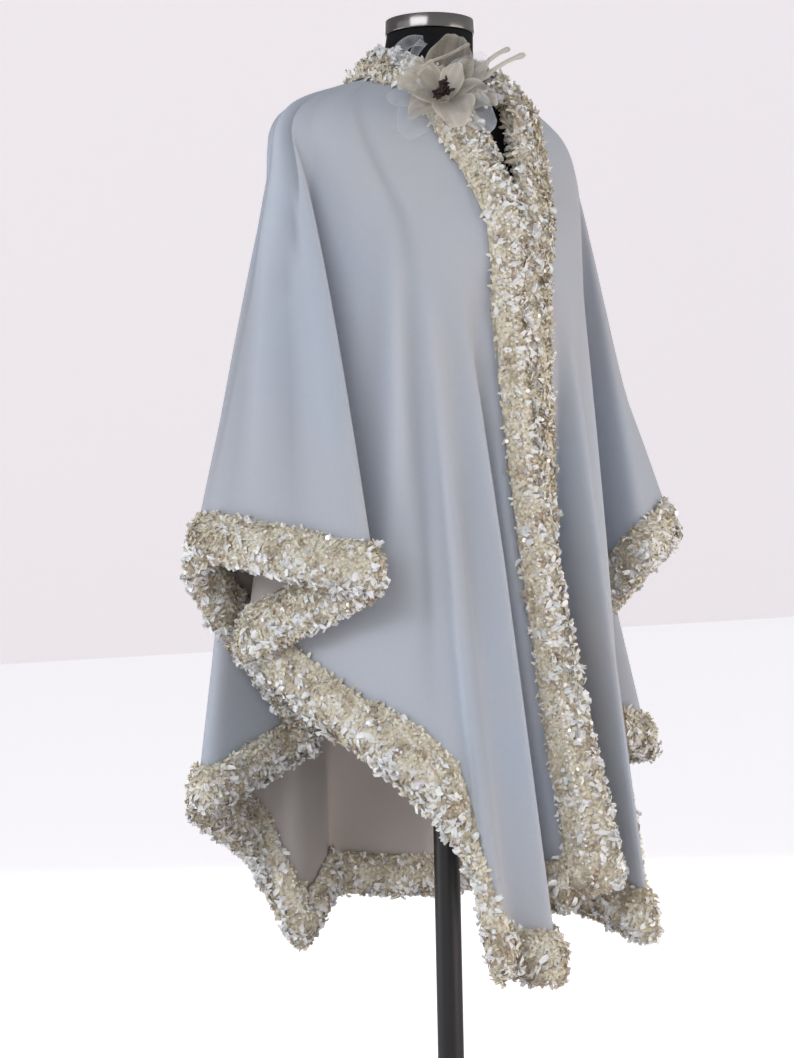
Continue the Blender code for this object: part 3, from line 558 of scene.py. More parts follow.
def off_form(angle, place, lift):
    """Points at a distance from the form's surface."""
    nudge = 1e-3
    across = on_form(angle + nudge, place) - on_form(angle - nudge, place)
    down = on_form(angle, place + nudge) - on_form(angle, place - nudge)
    return on_form(angle, place) + unit(np.cross(across, down)) * np.asarray(lift)[:, None]


print("the form's middle is at", on_form(np.zeros(1), np.array([len(FORM) / 2])).round(3).tolist())


# %% [markdown]
# ## The torso
# The jersey is pulled smooth over the padding, so the torso has no crease of its own. Rings of points
# down the form, each bridged to the next, give that even skin. A subdivided box would pinch at its
# corners. The round ends are filled last.


# %% The torso
TORSO_SIDES = 96
TORSO_RINGS = 76


def ring_of_points(work, points):
    """A closed ring of edges through the points."""
    made = bmesh.ops.create_circle(work, segments=len(points), radius=1.0)["verts"]
    for vert, point in zip(made, points):
        vert.co = point
    return list({edge for vert in made for edge in vert.link_edges})


def bridged_rings(work, rings):
    """Rings of edges, each bridged to the next."""
    loops = [ring_of_points(work, ring) for ring in rings]
    for near, far in zip(loops, loops[1:]):
        bmesh.ops.bridge_loops(work, edges=near + far)
    return loops


torso = bmesh.new()
ring_angles = np.linspace(0, 2 * math.pi, TORSO_SIDES, endpoint=False)
ring_places = np.linspace(0, len(FORM) - 1, TORSO_RINGS)
ends = bridged_rings(torso, [on_form(ring_angles, np.full(TORSO_SIDES, spot)) for spot in ring_places])
bmesh.ops.holes_fill(torso, edges=ends[0] + ends[-1], sides=0)
bmesh.ops.recalc_face_normals(torso, faces=torso.faces)
torso_piece = add_piece("torso_jersey", mesh_from(torso, "torso_jersey"), jersey, ["form_torso"], "jersey")
torso_piece.data.set_sharp_from_angle(angle=math.radians(50))
print("torso triangles:", triangles(torso_piece))


# %% [markdown]
# ## Neck cap and stand
# Turned parts: the cap is a shallow polished drum with rounded rims, and the pole and base are plain
# painted steel. A profile could be spun for each, but all three are straight-sided. So each is one
# created cone with equal ends, sized by its solid's box, and the cap and base get bevelled rims.


# %% Cap, pole and base
def turned(name, node, material, slot, bevel, segments=96):
    """A round piece with the size and place of a solid."""
    low, high = (np.array(corner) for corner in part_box(node))
    radius = (high[0] - low[0]) / 2
    work = bmesh.new()
    bmesh.ops.create_cone(work, cap_ends=True, segments=segments, radius1=radius, radius2=radius,
                          depth=high[2] - low[2])
    bmesh.ops.translate(work, verts=work.verts, vec=Vector((low + high) / 2))
    if bevel:
        rims = [edge for edge in work.edges if edge.calc_face_angle(0.0) > 1.0]
        bmesh.ops.bevel(work, geom=rims, offset=bevel, segments=4, profile=0.5, affect="EDGES", material=-1)
    piece = add_piece(name, mesh_from(work, name), material, [node], slot)
    piece.data.set_sharp_from_angle(angle=math.radians(35))
    return piece


cap_piece = turned("neck_cap", "form_neck_cap", chrome, "chrome", 1.5 * MM, 128)
pole_piece = turned("pole", "form_pole", black_paint, "black_paint", 0.0, 64)
base_piece = turned("stand_base", "form_base", black_paint, "black_paint", 6 * MM, 128)
print("turned:", [(piece.name, triangles(piece)) for piece in (cap_piece, pole_piece, base_piece)])


# %% [markdown]
# ## The cloth's creases
# The cape hangs from both shoulders and falls into deep folds at its sides. Cloth simulation would
# find folds of its own, but these are to be the photograph's, so they are laid by a table. Each row is
# one crease: where it starts at the neck, where it leaves the form, and where it meets the hem. A bend
# width means a doubled edge, a flat fold.

# %% Table of creases
# name, neck angle, neck z, break angle, break z, lift, hem x, hem y, hem z, flare, bend, round
FOLDS = (
    ("right_edge", 20, 1.405, 3.4, 1.170, 22, 0.015, -0.282, 0.470, 1.50, 0, 0.00),
    ("right_band", 52, 1.430, 18, 1.190, 16, -0.030, -0.237, 0.455, 1.45, 0, 0.18),
    ("right_tuck", 57, 1.433, 23, 1.200, 8, -0.038, -0.125, 0.430, 1.30, 22, 0.14),
    ("right_ridge", 61, 1.436, 28, 1.205, 13, -0.084, -0.287, 0.387, 0.95, 0, 0.25),
    ("right_hollow", 64, 1.438, 34, 1.210, 9, -0.118, -0.260, 0.392, 1.05, 0, 0.42),
    ("right_corner", 67, 1.440, 39, 1.215, 10, -0.153, -0.274, 0.403, 1.05, 14, 0.35),
    ("right_side_low", 70, 1.442, 45, 1.235, 10, -0.153, -0.238, 0.485, 1.05, 0, 0.42),
    ("right_side_mid", 73, 1.444, 52, 1.270, 8, -0.180, -0.195, 0.579, 1.05, 0, 0.45),
    ("right_side_top", 77, 1.446, 60, 1.305, 7, -0.230, -0.062, 0.667, 1.00, 0, 0.42),
    ("right_under", 82, 1.448, 70, 1.322, 4, -0.275, 0.026, 0.740, 0.95, 24, 0.14),
    ("right_wing_fold", 88, 1.450, 81, 1.342, 13, -0.240, -0.172, 0.820, 0.74, 26, 0.12),
    ("right_wing", 98, 1.452, 102, 1.326, 8, -0.346, 0.029, 0.845, 0.98, 0, 0.30),
    ("right_inner", 105, 1.453, 108, 1.320, 6, -0.127, 0.105, 0.613, 1.00, 24, 0.12),
    ("right_cascade", 111, 1.453, 113, 1.315, 9, -0.287, 0.110, 0.558, 1.00, 24, 0.13),
    ("right_back_fold", 116, 1.454, 119, 1.312, 8, -0.158, 0.178, 0.472, 1.10, 0, 0.32),
    ("right_back_lap", 121, 1.454, 127, 1.310, 9, -0.110, 0.154, 0.378, 1.20, 0, 0.38),
    ("back_valley_1", 138, 1.455, 148, 1.300, 10, -0.038, 0.190, 0.425, 1.25, 0, 0.42),
    ("back_ridge_1", 165, 1.455, 180, 1.290, 10, 0.046, 0.290, 0.405, 1.25, 0, 0.42),
    ("back_valley_2", 192, 1.455, 206, 1.295, 10, 0.146, 0.200, 0.400, 1.25, 0, 0.42),
    ("back_ridge_2", 208, 1.455, 218, 1.300, 9, 0.190, 0.278, 0.392, 1.20, 0, 0.42),
    ("left_back_lap", 222, 1.455, 230, 1.305, 8, 0.262, 0.205, 0.405, 1.20, 0, 0.42),
    ("left_back_fold", 236, 1.454, 239, 1.310, 8, 0.215, 0.155, 0.490, 1.10, 0, 0.34),
    ("left_cascade", 245, 1.453, 246, 1.315, 9, 0.365, 0.010, 0.580, 1.00, 24, 0.13),
    ("left_inner", 252, 1.453, 252, 1.320, 6, 0.190, 0.100, 0.640, 1.00, 24, 0.12),
    ("left_wing", 261, 1.452, 258, 1.326, 8, 0.338, -0.058, 0.857, 0.98, 0, 0.30),
    ("left_wing_fold", 271, 1.450, 279, 1.342, 13, 0.250, -0.105, 0.830, 0.74, 0, 0.30),
    ("left_under", 278, 1.448, 290, 1.322, 4, 0.240, 0.000, 0.755, 0.95, 22, 0.20),
    ("left_side_top", 283, 1.446, 300, 1.305, 7, 0.210, -0.040, 0.660, 1.00, 0, 0.42),
    ("left_side_mid", 287, 1.444, 308, 1.270, 8, 0.192, -0.090, 0.550, 1.05, 0, 0.45),
    ("left_side_low", 290, 1.442, 315, 1.235, 10, 0.184, -0.128, 0.470, 1.05, 0, 0.42),
    ("left_corner", 293, 1.440, 320, 1.215, 12, 0.165, -0.158, 0.420, 1.10, 12, 0.35),
    ("left_hollow", 296, 1.438, 326, 1.210, 10, 0.118, -0.195, 0.405, 1.10, 0, 0.42),
    ("left_ridge", 299, 1.436, 332, 1.205, 13, 0.073, -0.272, 0.410, 1.10, 0, 0.30),
    ("left_tuck", 303, 1.433, 337, 1.200, 7, 0.055, -0.115, 0.440, 1.40, 22, 0.16),
    ("left_band", 314, 1.430, 342, 1.190, 14, 0.034, -0.175, 0.450, 1.50, 0, 0.18),
    ("left_edge", 340, 1.405, 356.6, 1.170, 14, 0.002, -0.214, 0.455, 1.50, 0, 0.00),
)
BEND_TURN = 0.7             # degrees on the form between a doubled edge and its middle
SEAM_PAST_WING = 0.42       # where front and back panels join, in creases past the wing's own
NECK_LIFT = 0.0080          # the neckline's distance from the form
FRONT_LIFT = 0.010          # how much more it stands off at the throat
FRONT_TURN = 60.0           # and the degrees from the front where that ends
CAPE_DROP = 0.0011          # lowers the cloth until it lies on the form
DENSE_TOP, DENSE_DROP = 40, 60  # steps down each line, on the form and below it
SOFTENING = 10              # how often a line is averaged, which rounds its bend where it leaves the form
print("creases:", len(FOLDS))


# %% [markdown]
# ## From creases to a surface
# A doubled edge is a fold pressed flat by its own weight: the cloth comes back on itself round a bend
# a few centimetres wide. It could have two rows in the table, but they would have to agree. So one
# row is split in two here, to both sides of its place, across the way that the hem turns there.


# %% Crease rows
def crease_table():
    """FOLDS as rows of numbers, with each doubled edge as two rows, and each crease's place."""
    rows, before, after, places = [], [], [], {}
    for number, (name, *values) in enumerate(FOLDS):
        *values, bend, reach = values
        if not bend:
            places[name] = float(len(rows))
            rows.append(values)
            before.append(reach)
            after.append(reach)
            continue
        places[name] = len(rows) + 0.5
        hems = [np.array(row[6:8]) for row in FOLDS[number - 1:number + 2]]
        back, ahead = unit(hems[0] - hems[1]), unit(hems[2] - hems[1])
        middle = unit(back + ahead)
        side = np.array((-middle[1], middle[0])) * bend / 2 * MM
        side *= 1 if side @ (back - ahead) > 0 else -1
        for sign, reaches in ((1, (reach, 0.5)), (-1, (0.5, reach))):
            half = list(values)
            half[0] -= sign * BEND_TURN
            half[2] -= sign * BEND_TURN
            half[5] += sign * side[0]
            half[6] += sign * side[1]
            rows.append(half)
            before.append(reaches[0])
            after.append(reaches[1])
    return np.array(rows, dtype=float), np.array(before), np.array(after), places


rows, round_before, round_after, crease_at = crease_table()
LAST_PLACE = float(len(rows) - 1)
print("rows with doubled edges:", len(rows))


# %% [markdown]
# ## Soft corners
# Heavy wool turns softly at a crease and runs nearly straight between two. A smooth curve through all
# the creases would round everything alike. So between two creases the cloth runs straight here, and
# at a crease it turns on a quadratic curve as wide as the row's round. A curve like that cuts its
# corner, so the control rows are first moved outwards until it passes through the rows.


# %% Soft corners
def through_points(rows, before, after):
    """Control rows whose soft corners pass through the given rows."""
    matrix = np.eye(len(rows))
    for i in range(1, len(rows) - 1):
        if before[i] == after[i]:
            matrix[i, i] = 1 - before[i] / 2
            matrix[i, i - 1] = matrix[i, i + 1] = before[i] / 4
    return np.linalg.solve(matrix, rows)


def crease_weights(place, before, after):
    """How much of each control row a line at this place takes."""
    weights = np.zeros(len(before))
    nearest = int(place + 0.5)
    start, end = nearest - before[nearest], nearest + after[nearest]
    if start < place < end:
        t = (place - start) / (end - start)
        first, second = (1 - t) ** 2, t**2
        weights[nearest] += first * (1 - before[nearest]) + 2 * t * (1 - t)
        weights[nearest] += second * (1 - after[nearest])
        weights[nearest - 1] += first * before[nearest]
        weights[nearest + 1] += second * after[nearest]
        return weights
    low = min(int(place), len(before) - 2)
    weights[low] = 1 - (place - low)
    weights[low + 1] = place - low
    return weights


control_rows = through_points(rows, round_before, round_after)
print("control rows moved by up to", round(float(np.abs(control_rows - rows)[:, 5:8].max()), 3), "m")


# %% [markdown]
# ## Lines of cloth
# From the neck each line of wool lies on the form as far as its break, and from there it falls freely
# to the hem. One straight line would cut through the shoulder. So each line is worked out in two
# stretches, its bend is softened, and it is then cut into equal shares of its length.


# %% Lines of cloth
def softened(line, times):
    """The line, with each point between its ends averaged with its neighbours."""
    line = line.copy()
    for _ in range(times):
        line[1:-1] = (line[:-2] + 2 * line[1:-1] + line[2:]) / 4
    return line


def distance_along(points, axis=0):
    """How far each point is from the first one of its line, in metres."""
    steps = np.linalg.norm(np.diff(points, axis=axis), axis=-1)
    return np.insert(np.cumsum(steps, axis=axis), 0, 0.0, axis=axis)


def dense_line(row):
    """Closely spaced points down one line of the cloth."""
    neck_angle, neck_z, break_angle, break_z, lift, hem_x, hem_y, hem_z, flare = row
    along = np.linspace(0, 1, DENSE_TOP + 1)
    start, leave = place_of_height([neck_z, break_z])
    angle = np.radians(neck_angle + (break_angle - neck_angle) * (1 - (1 - along) ** 2))
    from_front = min(neck_angle, 360 - neck_angle)
    neck_lift = NECK_LIFT + FRONT_LIFT * max(0.0, 1 - from_front / FRONT_TURN)
    top = off_form(angle, start + (leave - start) * along, neck_lift + (lift * MM - neck_lift) * along)
    down = np.linspace(0, 1, DENSE_DROP + 1)[1:]
    share = np.stack([down**flare, down**flare, down], axis=-1)
    line = np.vstack([top, top[-1] + (np.array([hem_x, hem_y, hem_z]) - top[-1]) * share])
    return softened(line, SOFTENING) - (0.0, 0.0, CAPE_DROP)


def cloth_points(places, shares):
    """Points of the cloth's middle surface: lines at these places by shares of their length."""
    points = []
    for place in places:
        line = dense_line(crease_weights(place, round_before, round_after) @ control_rows)
        lengths = distance_along(line)
        wanted = shares * lengths[-1]
        points.append([np.interp(wanted, lengths, line[:, axis]) for axis in range(3)])
    return np.array(points).swapaxes(1, 2)


back_line = cloth_points([LAST_PLACE / 2], np.array((0.0, 1.0)))[0]
print("the back's middle line, from neck to hem:", back_line.round(3).tolist())


# %% [markdown]
# ## Where the lines run
# A tight fold needs many lines and a flat stretch few. Even steps would either waste faces or cut the
# folds' corners off. So each soft corner gets its own even steps, and wide gaps are filled. The same
# lines serve the neighbouring panels, so that their seams meet.


# %% Where the lines run
def fine_places(first, last, widest=0.13, turn_steps=6):
    """Places of the lines from first to last, closer together where a crease turns."""
    places = {first, last}
    for number in range(1, len(rows) - 1):
        start, end = number - round_before[number], number + round_after[number]
        places |= {round(float(spot), 5) for spot in np.linspace(start, end, turn_steps + 1)}
    kept = [first]
    for place in sorted(spot for spot in places if first < spot <= last):
        if place - kept[-1] < 0.012 and place != last:
            continue
        steps = int(math.ceil((place - kept[-1]) / widest))
        kept += list(np.linspace(kept[-1], place, steps + 1)[1:])
    return np.array(kept)


def surface_normals(points):
    across = np.gradient(points, axis=0)
    down = np.gradient(points, axis=1)
    return unit(np.cross(across, down))


print("lines from 0 to", LAST_PLACE, ":", len(fine_places(0.0, LAST_PLACE)))


# %% [markdown]
# ## Smaller creases, placed one by one
# Over the large folds lie soft troughs and ridges a few millimetres deep: drag lines from the
# shoulder, and shallow channels down the fronts and back. A noise would give waves that mean nothing,
# so each is placed one by one, uneven in width and depth, where the photograph has it, and others like
# them on the hidden sides. Where one would sink into the form, the cloth stays on top of it.

# %% Table of soft creases
# name, crease it starts at, offset there, offset at its end, first share, last share, width m, height mm
SOFT_CREASES = (
    ("wing_fold_start", "right_wing_fold", 0.12, 0.86, 0.12, 0.56, 0.008, -10.0),
    ("wing_fold_ridge", "right_wing_fold", 0.55, 1.10, 0.12, 0.56, 0.010, 3.0),
    ("wing_left_channel", "right_wing", -0.10, -0.09, 0.12, 0.96, 0.012, -10.0),
    ("wing_valley", "right_wing", -0.62, -0.64, 0.44, 0.97, 0.022, -6.0),
    ("wing_drag_low", "right_wing", -0.27, -0.30, 0.46, 0.96, 0.018, -4.5),
    ("wing_swell", "right_wing", -0.44, -0.46, 0.40, 0.94, 0.016, 3.0),
    ("side_channel", "right_side_top", -1.20, -0.35, 0.28, 0.68, 0.020, -1.5),
    ("chest_swell", "right_side_mid", -0.85, 0.45, 0.27, 0.82, 0.018, 5.0),
    ("chest_channel", "right_side_mid", -1.15, -0.05, 0.24, 0.90, 0.017, -6.0),
    ("front_swell", "right_side_low", -0.75, -0.25, 0.32, 0.96, 0.016, 3.5),
    ("bust_break", "right_hollow", 0.10, 0.30, 0.30, 0.70, 0.016, -3.0),
    ("low_channel", "right_corner", -0.35, -0.40, 0.50, 0.96, 0.016, -4.0),
    ("shoulder_drag", "right_side_low", -0.60, 0.30, 0.08, 0.34, 0.014, -3.5),
    ("left_chest", "left_side_mid", 0.20, 0.10, 0.30, 0.85, 0.022, -5.0),
    ("left_swell", "left_side_low", 0.25, 0.30, 0.35, 0.92, 0.020, 4.5),
    ("left_wing_drag", "left_wing", 0.30, 0.10, 0.22, 0.82, 0.024, -6.0),
    ("left_front_channel", "left_hollow", 0.10, -0.10, 0.35, 0.90, 0.016, -4.5),
    ("back_left_of_middle", "back_ridge_1", -0.35, -0.45, 0.22, 0.86, 0.030, -6.5),
    ("back_middle", "back_ridge_1", 0.30, 0.35, 0.30, 0.94, 0.026, 5.5),
    ("back_right_drag", "back_valley_1", -0.40, -0.30, 0.20, 0.74, 0.028, -6.5),
    ("back_shoulder", "back_valley_2", 0.35, 0.60, 0.14, 0.60, 0.024, -6.0),
    ("back_low_swell", "back_valley_2", -0.45, -0.40, 0.45, 0.97, 0.030, 6.0),
    ("left_back_drag", "left_back_lap", -0.30, -0.15, 0.25, 0.80, 0.022, -5.0),
)
print("soft creases:", len(SOFT_CREASES))


# %% [markdown]
# ## Laying the soft creases
# A soft crease is a trough or ridge with no hard edge, which fades out at both ends and drifts across
# the threads as it falls. It could be brushed on with sculpting, but not told again. So each point is
# moved along its normal by a bell curve round the crease's line. How far it moved is kept for the
# wool's painted shade in the hollows and painted highlight on the ridges.


# %% Laying the soft creases
SOFT_BOW = 0.6              # below 1 a crease turns across the lines mostly near its top
SOFT_ENDS = 0.8             # below 1 a crease keeps its depth for longer before it fades out
OFF_TORSO = 2.2 * MM        # the least distance of the cloth's middle from the form
form_mesh = nodes["form_torso"].data
torso_tree = BVHTree.FromPolygons([vertex.co.copy() for vertex in form_mesh.vertices],
                                  [tuple(face.vertices) for face in form_mesh.polygons])


def add_soft_creases(points, places, shares):
    """The points moved along their normals by every soft crease, and how far each has moved."""
    across = distance_along(points)
    height = np.zeros(points.shape[:2])
    for _, crease, top, bottom, first, last, width, tall in SOFT_CREASES:
        along = np.clip((shares - first) / (last - first), 0, 1)
        centres = crease_at[crease] + top + (bottom - top) * along**SOFT_BOW
        fade = np.sin(math.pi * along) ** SOFT_ENDS
        for ring in range(points.shape[1]):
            if fade[ring] < 1e-3 or not places[0] <= centres[ring] <= places[-1]:
                continue
            middle = np.interp(centres[ring], places, across[:, ring])
            height[:, ring] += tall * MM * fade[ring] * np.exp(-((across[:, ring] - middle) / width) ** 2)
    room = np.array([[torso_tree.find_nearest(point)[3] for point in line] for line in points])
    height = np.maximum(height, OFF_TORSO - room)
    return points + surface_normals(points) * height[..., None], height


print("the form's surface has", len(form_mesh.polygons), "faces to stay off")


# %% [markdown]
# ## Softer near the neck
# At the shoulders the folds of the sides are not yet there: the wool is stretched smooth. Rows for
# that would make the table twice as long. Instead each ring of points is averaged with its
# neighbours, most at the neck and less further down, and not at all round the sleeve-like folds.


# %% Softer near the neck
SOFT_REACH = 0.030          # how far the chest and back are evened out, each way
SOFT_FADE = (0.08, 0.60)    # shares of a line between which that fades away
CRISP_RANGES = (("right_side_top", 0.4, "right_wing", 0.6), ("left_wing", -0.6, "left_side_top", -0.4))


def evening_reach(places, shares):
    """How far each point is evened out along its ring: none round the sleeve-like folds."""
    fade = 1 - np.clip((shares - SOFT_FADE[0]) / (SOFT_FADE[1] - SOFT_FADE[0]), 0, 1)
    wanted = np.ones(len(places))
    for first, before, last, after in CRISP_RANGES:
        low, high = crease_at[first] + before, crease_at[last] + after
        outside = np.maximum(np.maximum(low - places, places - high), 0)
        wanted = np.minimum(wanted, np.clip(outside / 1.5, 0, 1))
    return SOFT_REACH * wanted[:, None] * (fade**0.7)[None, :]


def evened(points, places, shares):
    """The points averaged along their rings, without drawing the curve inwards."""
    reach = evening_reach(places, shares)
    across = distance_along(points)
    result = points.copy()
    for ring in range(points.shape[1]):
        here = across[:, ring]
        share = np.gradient(here)
        # beyond each end the ring goes on as its own mirror, so that the edges stay in place
        far = np.concatenate([-here[:0:-1], here, 2 * here[-1] - here[-2::-1]])
        weight = np.concatenate([share[:0:-1], share, share[-2::-1]])
        kernel = np.exp(-((here[:, None] - far[None]) ** 2) / (2 * (reach[:, ring, None] + 1e-5) ** 2))
        kernel *= weight
        kernel /= kernel.sum(axis=1, keepdims=True)

        def averaged(line):
            return kernel @ np.vstack([2 * line[0] - line[:0:-1], line, 2 * line[-1] - line[-2::-1]])

        once = averaged(points[:, ring])
        result[:, ring] = 2 * once - averaged(once)
    return result


print("evened out over", SOFT_REACH, "m")


# %% [markdown]
# ## A sheet from a grid
# A woven sheet is a grid of threads, and a grid of faces bends in the same way. So a created grid gets
# one column for each line of cloth, and its vertices are moved to the surface. Unwrapping it later
# would lose the way of the threads, so its UV map is laid here, in metres.


# %% A sheet from a grid
def grid_sheet(name, points):
    """A mesh of a grid of points, with its faces outwards."""
    columns, rings = points.shape[:2]
    work = bmesh.new()
    bmesh.ops.create_grid(work, x_segments=columns - 1, y_segments=rings - 1, size=1.0)
    for vert in work.verts:
        column = round((vert.co.x + 1) / 2 * (columns - 1))
        ring = round((vert.co.y + 1) / 2 * (rings - 1))
        vert.co = points[column, ring]
    work.normal_update()
    outward = surface_normals(points)[columns // 2, rings // 2]
    centre = Vector(points[columns // 2, rings // 2])
    nearest = min(work.faces, key=lambda face: (face.calc_center_median() - centre).length)
    if nearest.normal.dot(Vector(outward)) < 0:
        bmesh.ops.reverse_faces(work, faces=work.faces)
    lay_uv(work, points)
    return mesh_from(work, name)


def lay_uv(work, points):
    """A UV map in metres: across the cloth, as far as on its middle ring, and down each line."""
    columns, rings = points.shape[:2]
    down = distance_along(points, axis=1)
    across = distance_along(points[:, rings // 2])
    work.verts.index_update()
    layer = work.loops.layers.uv.new("weave")
    for face in work.faces:
        for loop in face.loops:
            ring, column = divmod(loop.vert.index, columns)
            loop[layer].uv = (across[column], down[column, ring])


print("sheet helpers:", [helper.__name__ for helper in (grid_sheet, lay_uv)])


# %% [markdown]
# ## The panels
# The wool is one layer, about 2 mm thick, in three panels that meet at the seams past the wings. A
# bare surface would have no edge, and two drawn faces would cross in the folds. Solidify gives the
# sheet its thickness to both sides, and its inner face the browner copy of the wool, which is painted
# warm shade. The seams meet with a hair's gap.


# %% Panels
CLOTH_THICK = 2.0 * MM
SEAM_GAP = 0.3 * MM
# a crease this deep gets the darkest painted shade
DARKEST_PAINTED_SHADE_DEPTH = 8 * MM            # a crease as deep as this is as dark as a hollow gets
RINGS = 104


def make_panel(name, points, heights, node):
    """A panel of wool. Its mesh also keeps how deep each point lies in a soft crease, for the wool's
    painted shade.
    """
    points = points.copy()
    points[0] += unit(points[1] - points[0]) * SEAM_GAP / 2
    points[-1] += unit(points[-2] - points[-1]) * SEAM_GAP / 2
    panel = add_piece(name, grid_sheet(name, points), wool, [node], "wool")
    # the crease depth that the wool turns into painted shade and painted highlight
    keep_on_points(panel.data, "hollow", (-heights / DARKEST_PAINTED_SHADE_DEPTH).T)
    # the inner face gets the browner copy of the wool, painted warm shade
    panel.data.materials.append(wool_inside_painted_shade)
    wall = panel.modifiers.new("Wall", "SOLIDIFY")
    wall.thickness = CLOTH_THICK
    wall.offset = 0.0
    wall.material_offset = 1
    print(name, "lines:", len(points), "triangles:", 2 * triangles(panel))
    return panel


seams = (crease_at["right_wing"] + SEAM_PAST_WING, crease_at["left_wing"] - SEAM_PAST_WING)
# name, first place, last place, solid, flat width and length
PANELS = (
    ("right_front_panel", 0.0, seams[0], "cape_right_front", (0.66, 1.06)),
    ("back_panel", seams[0], seams[1], "cape_back", (1.05, 1.12)),
    ("left_front_panel", seams[1], LAST_PLACE, "cape_left_front", (0.56, 1.06)),
)
shares_down = np.linspace(0, 1, RINGS)
panel_places = [fine_places(first, last) for _, first, last, *_ in PANELS]
all_places = np.concatenate([panel_places[0], panel_places[1][1:], panel_places[2][1:]])
cloth = evened(cloth_points(all_places, shares_down), all_places, shares_down)
cloth, crease_heights = add_soft_creases(cloth, all_places, shares_down)
first_line = 0
for (name, _, _, node, _), places in zip(PANELS, panel_places):
    own = slice(first_line, first_line + len(places))
    make_panel(name, cloth[own], crease_heights[own], node)
    first_line += len(places) - 1


# %% [markdown]
# ## Which faces of a band show
# A band wraps the cloth's edge: its lining lies against the wool, and only its outer faces show and are
# sewn with petals. They could be marked by hand, but a solid has no marks. So a face is an outer one
# here if all its corners are further from the wool than the band's lining.


# %% Outer faces of a band
def surface_tree(names):
    """A search tree of the surfaces of these solids."""
    points, faces = [], []
    for name in names:
        mesh = nodes[name].data
        start = len(points)
        points += [vertex.co.copy() for vertex in mesh.vertices]
        faces += [tuple(start + corner for corner in face.vertices) for face in mesh.polygons]
    return BVHTree.FromPolygons(points, faces)


wool_solids = [node for _, _, _, node, _ in PANELS]
cloth_tree = surface_tree(wool_solids)


def merged_copy(node):
    """A copy of a solid's mesh with its doubles merged."""
    work = bmesh.new()
    work.from_mesh(nodes[node].data)
    bmesh.ops.remove_doubles(work, verts=work.verts, dist=1e-5)
    return work


def faces_off_cloth(work, lining):
    """A band's outer faces: those with every corner further from the wool than its lining."""
    away = {vert: cloth_tree.find_nearest(vert.co)[3] for vert in work.verts}
    return [face for face in work.faces if all(away[vert] > lining for vert in face.verts)]


print("faces of wool to measure from:", sum(len(nodes[node].data.polygons) for node in wool_solids))


# %% [markdown]
# ## Trim, first layer: the ruffled base
# The real trim is a dense strip of gathered organza, sewn over both faces of the edge. Gathering a
# long ribbon for it would need millions of faces. Its body is the solid band itself, cut finer and
# pushed in and out by a noise so that it bunches. Only the outer faces move, never the lining.


# %% Bunched bands
def band_base(node, lining, cuts=3, push=3.0 * MM, wrinkle=0.014):
    """The band's mesh, with its outer faces cut finer and bunched."""
    work = merged_copy(node)
    edges = list({edge for face in faces_off_cloth(work, lining) for edge in face.edges})
    bmesh.ops.subdivide_edges(work, edges=edges, cuts=cuts, use_grid_fill=True)
    bmesh.ops.triangulate(work, faces=work.faces)
    work.normal_update()
    for vert in work.verts:
        if cloth_tree.find_nearest(vert.co)[3] > lining + 0.5 * MM:
            spot = vert.co / wrinkle
            bunch = noise.noise(spot) + 0.6 * noise.noise(spot * 2.1)
            vert.co += vert.normal * push * (0.3 + bunch)
    work.normal_update()
    return work


# node, how far its lining may lie from the wool
BANDS = (
    ("right_hem_band", 0.95 * MM), ("back_hem_band", 0.95 * MM), ("left_hem_band", 0.95 * MM),
    ("right_front_band", 1.4 * MM), ("left_front_band", 1.4 * MM), ("neck_band", 1.4 * MM),
)
band_pieces = {}
for node, lining in BANDS:
    work = band_base(node, lining)
    piece = add_piece(f"{node}_ruffle", mesh_from(work, f"{node}_ruffle"), base_cloth, [node], "ruffle")
    band_pieces[node] = [piece]
    print(piece.name, triangles(piece))


# %% [markdown]
# ## Spots on the trim
# Petals and beads are sewn close together, but never in rows. Spots picked wholly at random would
# clump and leave bald places. Even steps through the summed areas of the band's outer faces, each a
# little shaken, spread them well. Each spot also gets a direction outwards.


# %% Spread spots
chance = np.random.default_rng(61)


def outer_faces(node, lining):
    """Corners and corner normals of a band's outer triangles, before it was bunched."""
    work = merged_copy(node)
    bmesh.ops.triangulate(work, faces=work.faces)
    work.normal_update()
    outer = faces_off_cloth(work, lining)
    corners = np.array([[vert.co[:] for vert in face.verts] for face in outer])
    normals = np.array([[vert.normal[:] for vert in face.verts] for face in outer])
    work.free()
    return corners, normals


def spread(corners, normals, per_square_cm):
    """Evenly spread points on triangles, and the smooth normal at each."""
    sides = np.cross(corners[:, 1] - corners[:, 0], corners[:, 2] - corners[:, 0])
    sums = np.cumsum(np.linalg.norm(sides, axis=1) / 2)
    count = int(sums[-1] * 1e4 * per_square_cm)
    marks = (np.arange(count) + chance.random(count)) / count * sums[-1]
    chosen = np.searchsorted(sums, marks).clip(0, len(sums) - 1)
    first, second = chance.random(count), chance.random(count)
    over = first + second > 1
    first[over], second[over] = 1 - first[over], 1 - second[over]
    shares = np.stack([1 - first - second, first, second], axis=1)[:, :, None]
    return (corners[chosen] * shares).sum(axis=1), unit((normals[chosen] * shares).sum(axis=1))


band_faces = {node: outer_faces(node, lining) for node, lining in BANDS}
print({node: len(faces[0]) for node, faces in band_faces.items()})


# %% [markdown]
# ## The way the petals lie
# Sewn at their roots, the petals lean out over the cloth's edge, and at the border on the wool their
# tips stick out the other way. The leaning could be painted by hand as weights. It is worked out from
# each spot's distance to the nearest point of the edge, which also tells cream from tan.


# %% Towards the edge
EDGE_PULL = 0.8             # how much more petals lean towards the cloth's edge than elsewhere
BORDER_ZONE = 0.036         # past here they lean about evenly, and their tips stick out on the wool
BORDER_FADE = 0.010
BORDER_PULL = -0.9


